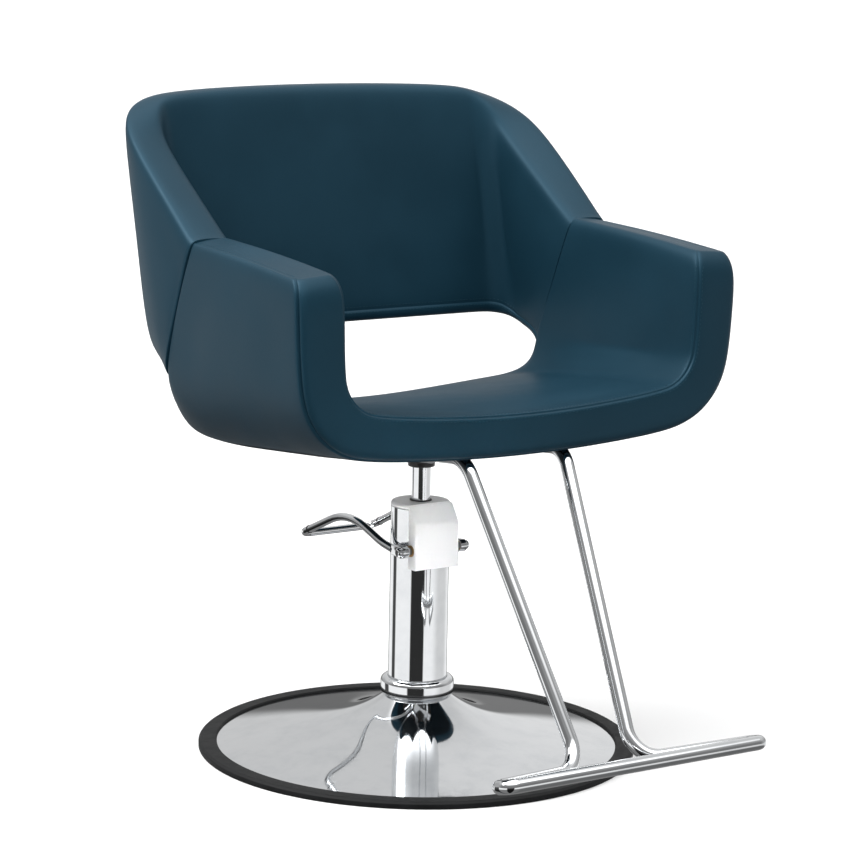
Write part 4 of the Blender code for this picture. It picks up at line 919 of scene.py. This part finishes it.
# %% Plan of the back
low_z, wing_z, shoulder_z, top_z = 0.561, 0.825, 0.8865, 0.890
inner_y, recline, bow_rise = 0.200, 0.265, 0.018
outer_half, outer_flare, outer_corner, inner_corner, back_thickness = 0.3410, 0.018, 0.108, 0.035, 0.048
corner_station, side_station, last_station = 3, 7, 11
side_shares = {8: 0.5, 9: 0.9, 10: 0.98, 11: 1.0}


def back_rail(half_width, corner_radius, rear_offset, i, z):
    """Where station i of the back's outer or inner skin stands in plan at height z, as (x, y)."""
    rise = z - low_z
    rear = inner_y + rear_offset + recline * rise
    bow = bow_rise * max(rise, 0.0) / (top_z - low_z)
    arc_x = half_width - corner_radius
    if i <= corner_station:
        x = arc_x * i / corner_station
        return (x, rear - bow * (x / arc_x) ** 2)
    corner_y = rear - bow - corner_radius
    if i <= side_station:
        angle = radians(90 - 22.5 * (i - corner_station))
        return (arc_x + corner_radius * cos(angle), corner_y + corner_radius * sin(angle))
    return (half_width, between(corner_y, seam_y(z) + seam_gap / 2, side_shares[i]))


def back_point(i, z, share):
    """A point of the back at station i, height z and a share of the way from the outer to the inner skin."""
    outer = back_rail(outer_half - outer_flare * (top_z - z), outer_corner, back_thickness, i, z)
    inner = back_rail(inner_half, inner_corner, 0.0, i, z)
    return Vector((between(outer[0], inner[0], share), between(outer[1], inner[1], share), z))


print("back leans", round(recline, 3), "m per m")

# %% [markdown]
# The upper edge falls from the middle to the shoulders and on to the ends, and the lower edge drops
# toward the arms. Each section goes up the outside, over the top and down the inside to the hem.

# %% Cage of the back
wing_drop, end_inset, foot_rise, heel_rise = 0.042, 0.0014, 0.015, 0.0045
hem_rise, hem_half, hem_depth = 0.0170, 0.0022, 0.0040
tops = [between(top_z, shoulder_z, share) for share in (0.0, 0.12, 0.55, 1.45)]
tops += [between(shoulder_z, wing_z, share) for share in (0.12, 0.28, 0.56, 1.0)]
tops += [between(wing_z, seam_top_z + 0.001, share) for share in (0.60, 0.945, 0.99, 1.0)]
outer_lows = [low_z] * 5 + [low_z - wing_drop * share for share in (0.15, 0.38, 0.68, 0.95, 1.05, 1.05, 1.05)]
inner_lows = [low_z] * 5 + [low_z - wing_drop * share for share in (0.06, 0.25, 0.45, 0.60, 0.88, 1.0, 1.0)]


def back_loop(i, outer_low, low, top):
    """One section of the back's cage at station i, as (place, row name)."""
    thickness = (back_point(i, top, 0.0) - back_point(i, top, 1.0)).length
    edge = edge_round / thickness
    hem, hem_deep = low + hem_rise, hem_depth / thickness
    skin = end_inset / thickness if i == last_station else 0.0
    waist, chest = between(low, top, 0.35), between(low, top, 0.68)
    section = [(outer_low, 0.25, None), (outer_low + foot_rise, skin, None)]
    section += [(waist, skin, None), (chest, skin, None)]
    section += [(top - edge_round, skin, None), (top, edge, None), (top, 1.0 - edge, None)]
    section += [(top - edge_round, 1.0, None), (chest, 1.0, None), (waist, 1.0, None)]
    section += [(hem + hem_half, 1.0, None), (hem, 1.0 - hem_deep, "hem"), (hem - hem_half, 1.0, None)]
    section += [(low + heel_rise, 0.93, None), (low, 0.75, None)]
    at_end = i >= last_station - 1
    loop = []
    for z, share, row in section:
        if at_end or not row and z not in (waist, chest):
            row = "still"
        loop.append((back_point(i, z, share), row))
    return loop


back = [back_loop(i, *heights) for i, heights in enumerate(zip(outer_lows, inner_lows, tops))]
print("back cage:", len(back), "sections of", len(back[0]), "points")

# %% [markdown]
# ## Covers over foam
# The cage is bridged, mirrored and smoothed, then filled: air pressure inside a cloth stands for the foam
# that pushes the cover out between its seams. Smoothing alone leaves panels as flat as a board, and a
# bulge drawn by hand ignores the seams. The seams and the edges are held still meanwhile, and the
# swelling is limited to two millimetres, because this foam is firm.


# %% Sew and mirror
def evaluated(made):
    """The mesh of a piece with its modifiers worked in."""
    graph = bpy.context.evaluated_depsgraph_get()
    worked = made.evaluated_get(graph)
    return bpy.data.meshes.new_from_object(worked, preserve_all_data_layers=True, depsgraph=graph)


def smoothed(made, levels):
    """Rounds a piece by subdivision and keeps the result as its mesh."""
    smooth = made.modifiers.new("smooth", "SUBSURF")
    smooth.levels = levels
    smooth.render_levels = levels
    made.data = evaluated(made)
    made.modifiers.clear()


def sewn(name, cage, sharp_end):
    """Bridges the sections of half a cover, caps the last one, mirrors and smooths the whole."""
    bm = bmesh.new()
    marks = bm.verts.layers.deform.verify()
    crease = bm.edges.layers.float.new("crease_edge")
    rings = []
    for loop in cage:
        points = []
        for place_at, row in loop:
            point = bm.verts.new(place_at)
            if row:
                point[marks][row_names.index(row)] = 1.0
            points.append(point)
        rings.append([bm.edges.new(pair) for pair in zip(points, points[1:] + points[:1])])
    for first, second in zip(rings, rings[1:]):
        bmesh.ops.bridge_loops(bm, edges=first + second)
    bmesh.ops.contextual_create(bm, geom=rings[-1])
    bmesh.ops.recalc_face_normals(bm, faces=bm.faces)
    for edge in rings[-1]:
        edge[crease] = sharp_end
    made = new_piece(name, bm, sharp=pi)
    for row in row_names:
        made.vertex_groups.new(name=row)
    halves = made.modifiers.new("halves", "MIRROR")
    halves.merge_threshold = 0.0001
    smoothed(made, 2)
    return made


seat_cover = sewn("seat_cover", band, 0.0)
back_cover = sewn("back_cover", back, 1.0)
print("sewn faces:", len(seat_cover.data.polygons), "and", len(back_cover.data.polygons))

# %% [markdown]
# The cloth is held by weights: full on seams and edges, none in the middle of a panel. Gravity is off,
# because foam carries the cover. A short run of frames is enough, because only the form of the swelling
# is wanted and its size is limited afterwards.

# %% Fill with foam
swell_limit, fill_pressure, cover_stiffness, fill_frames, grip_gain = 0.002, 4.0, 2.0, 20, 1.5


def filled(made):
    """Blows the panels out between their seams by no more than the limit."""
    hold = made.vertex_groups.new(name="hold")
    points = made.data.vertices
    grips = [min(1.0, grip_gain * sum(mark.weight for mark in point.groups)) for point in points]
    for point, grip in zip(points, grips):
        hold.add([point.index], grip, "REPLACE")
    start = [point.co.copy() for point in points]
    cloth = made.modifiers.new("fill", "CLOTH")
    cloth.settings.vertex_group_mass = "hold"
    cloth.settings.use_pressure = True
    cloth.settings.uniform_pressure_force = fill_pressure
    cloth.settings.effector_weights.gravity = 0.0
    cloth.settings.bending_stiffness = cover_stiffness
    cloth.point_cache.frame_start, cloth.point_cache.frame_end = 1, fill_frames
    for number in range(1, fill_frames + 1):
        scene.frame_set(number)
    blown = evaluated(made)
    made.modifiers.clear()
    furthest = 0.0
    for point, before, after in zip(points, start, blown.vertices):
        move = after.co - before
        move *= swell_limit / (swell_limit ** 2 + move.length_squared) ** 0.5
        point.co = before + move
        furthest = max(furthest, move.length)
    made.vertex_groups.remove(hold)
    scene.frame_set(1)
    print(made.name, "swells by", round(1000 * furthest, 1), "mm")


for cover_piece in (seat_cover, back_cover):
    filled(cover_piece)
    smoothed(cover_piece, 1)
    print(cover_piece.name, "faces", len(cover_piece.data.polygons))

# %% [markdown]
# Stitches are short threads laid end to end beside a seam. A line painted on the cover would lie flat and
# blur, so each stitch is a small body of its own. Their line is the seam's own row of the cage, smoothed
# the way the cover was, set off to one side and dropped onto the finished cover.


# %% Lines for stitches
def flowing(points):
    """Smooths a line of points as the cover smooths its cage."""
    for _ in range(4):
        rounder = [points[0]]
        for before, point, after in zip(points, points[1:], points[2:]):
            rounder += [(before + point) / 2, (before + point * 6 + after) / 8]
        points = rounder + [(points[-2] + points[-1]) / 2, points[-1]]
    return points


def paced(points, pitch):
    """Even steps along a line, as (place, direction)."""
    steps = []
    left_over = pitch / 2
    for first, second in zip(points, points[1:]):
        length = (second - first).length
        while left_over < length:
            steps.append((first.lerp(second, left_over / length), (second - first).normalized()))
            left_over += pitch
        left_over -= length
    return steps


def row_of(cage, wanted):
    """The points of a cage that carry a row's name, section by section."""
    return [Vector(point) for loop in cage for point, row in loop if row == wanted]


def other_side(line):
    return [Vector((-point.x, point.y, point.z)) for point in line]


def mirrored(line):
    """A half line from the middle outwards becomes the whole, from side to side."""
    return other_side(reversed(line[1:])) + line


lip_line, hem_line = mirrored(row_of(band, "lip")), mirrored(row_of(back, "hem"))
arm_line = row_of(band, "arm_top")
print("seam points:", len(lip_line), len(hem_line), len(arm_line))

# %% [markdown]
# A stitch is a flattened ball with few faces, because there are hundreds of them. Each is turned to lie
# along its seam and flat on the cover, and is sunk a little, as a thread that is pulled tight.

# %% Stitches
stitch_pitch, stitch_lift = 0.0055, 0.00008
stitch_size = Matrix.Diagonal((0.0018, 0.00042, 0.00038, 1.0))
lip_set_off, arm_set_off, hem_set_off = 0.0050, 0.0036, 0.0042


def stitched(bm, made, line, offsets):
    """Lays a row of stitches along the line for each sideways offset, on the surface of the cover."""
    surface = BVHTree.FromPolygons([v.co for v in made.data.vertices],
                                   [f.vertices[:] for f in made.data.polygons])
    count = 0
    for offset in offsets:
        for place_at, along in paced(flowing(line), stitch_pitch):
            ground, up, _, _ = surface.find_nearest(place_at)
            ground, up, _, _ = surface.find_nearest(ground + up.cross(along).normalized() * offset)
            across = up.cross(along).normalized()
            turn = Matrix((across.cross(up), across, up)).transposed().to_4x4()
            stand = Matrix.Translation(ground + up * stitch_lift) @ turn @ stitch_size
            bmesh.ops.create_uvsphere(bm, u_segments=6, v_segments=5, radius=1.0, matrix=stand)
            count += 1
    return count


bm = bmesh.new()
count = stitched(bm, seat_cover, lip_line, (-lip_set_off, lip_set_off))
count += stitched(bm, seat_cover, arm_line, (arm_set_off,))
count += stitched(bm, seat_cover, other_side(arm_line), (-arm_set_off,))
seat_stitches = new_piece("seat_stitches", bm)
fit(seat_stitches, "thread", "upholstery", "chair")
bm = bmesh.new()
count += stitched(bm, back_cover, hem_line, (-hem_set_off, hem_set_off))
back_stitches = new_piece("back_stitches", bm)
fit(back_stitches, "thread", "upholstery", "chair")
print("stitches:", count)

# %% [markdown]
# The board that the seat is screwed to lies in a recess of the foam, and the footrest's two tubes enter
# the seat through channels in front of it. They are cut last, so that the filling doesn't round their
# edges.

# %% Recess and channels under the seat
recess_low, recess_high = (-0.1153, -0.1653, -0.048), (0.1153, 0.0803, 0.0123)
channel_half, channel_front, channel_rear, channel_low, channel_high = 0.011, -0.228, -0.153, -0.048, 0.0015
cut_sharp = radians(60)


def box_tool(name, low, high):
    """A box between two corners given in the seat's sloping frame."""
    low, high = Vector(low), Vector(high)
    bm = bmesh.new()
    bmesh.ops.create_cube(bm, size=1.0)
    bmesh.ops.scale(bm, vec=high - low, verts=bm.verts)
    bmesh.ops.translate(bm, vec=(low + high) / 2, verts=bm.verts)
    bmesh.ops.transform(bm, matrix=seat_frame, verts=bm.verts)
    return new_piece(name, bm)


cut_away(seat_cover, box_tool("recess", recess_low, recess_high), cut_sharp)
for middle in (-tube_x, tube_x):
    channel = box_tool("channel", (middle - channel_half, channel_front, channel_low),
                       (middle + channel_half, channel_rear, channel_high))
    cut_away(seat_cover, channel, cut_sharp)
fit(seat_cover, "leather", "upholstery", "chair", "seat_shell")
fit(back_cover, "leather", "upholstery", "chair", "backrest")

# %% [markdown]
# ## Plunger spring
# Inside the pump head the plunger stands on a small spring, which shortens as the pedal goes down. It is
# a wire wound on a rod, so the bending helper makes it from a path of even steps round that rod.

# %% Spring
coil_low, coil_turns, coil_rise, coil_radius, wire_radius = 0.2372, 6, 0.0138, 0.0026, 0.0006
coil_y, coil_sides = -0.020, 24
steps = coil_sides * coil_turns
coil = []
for k in range(steps + 1):
    angle = 2 * pi * k / coil_sides
    coil.append(Vector((coil_radius * cos(angle), coil_y + coil_radius * sin(angle),
                        coil_low + wire_radius + coil_rise * k / steps)))
spring = new_piece("plunger_coil", bent_tube("coil", coil, wire_radius))
fit(spring, "steel", "steel", "base", "plunger_spring")
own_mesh(spring)

# %% [markdown]
# ## Solids that stay
# The pieces inside the pump and under the seat are hardly ever seen. They could be rebuilt like the
# others, but their solids are exact already, so they only get the finish that belongs to their material.

# %% Finishes on the solids that stay
for solid in nodes.values():
    for slot in solid.material_slots:
        word = slot.material.name.split(".")[0] if slot.material else "steel"
        finish = "leather" if word == "upholstery" else word
        slot.material = finishes.get(finish, finishes["steel"])
print("solids with new finishes:", len(nodes))
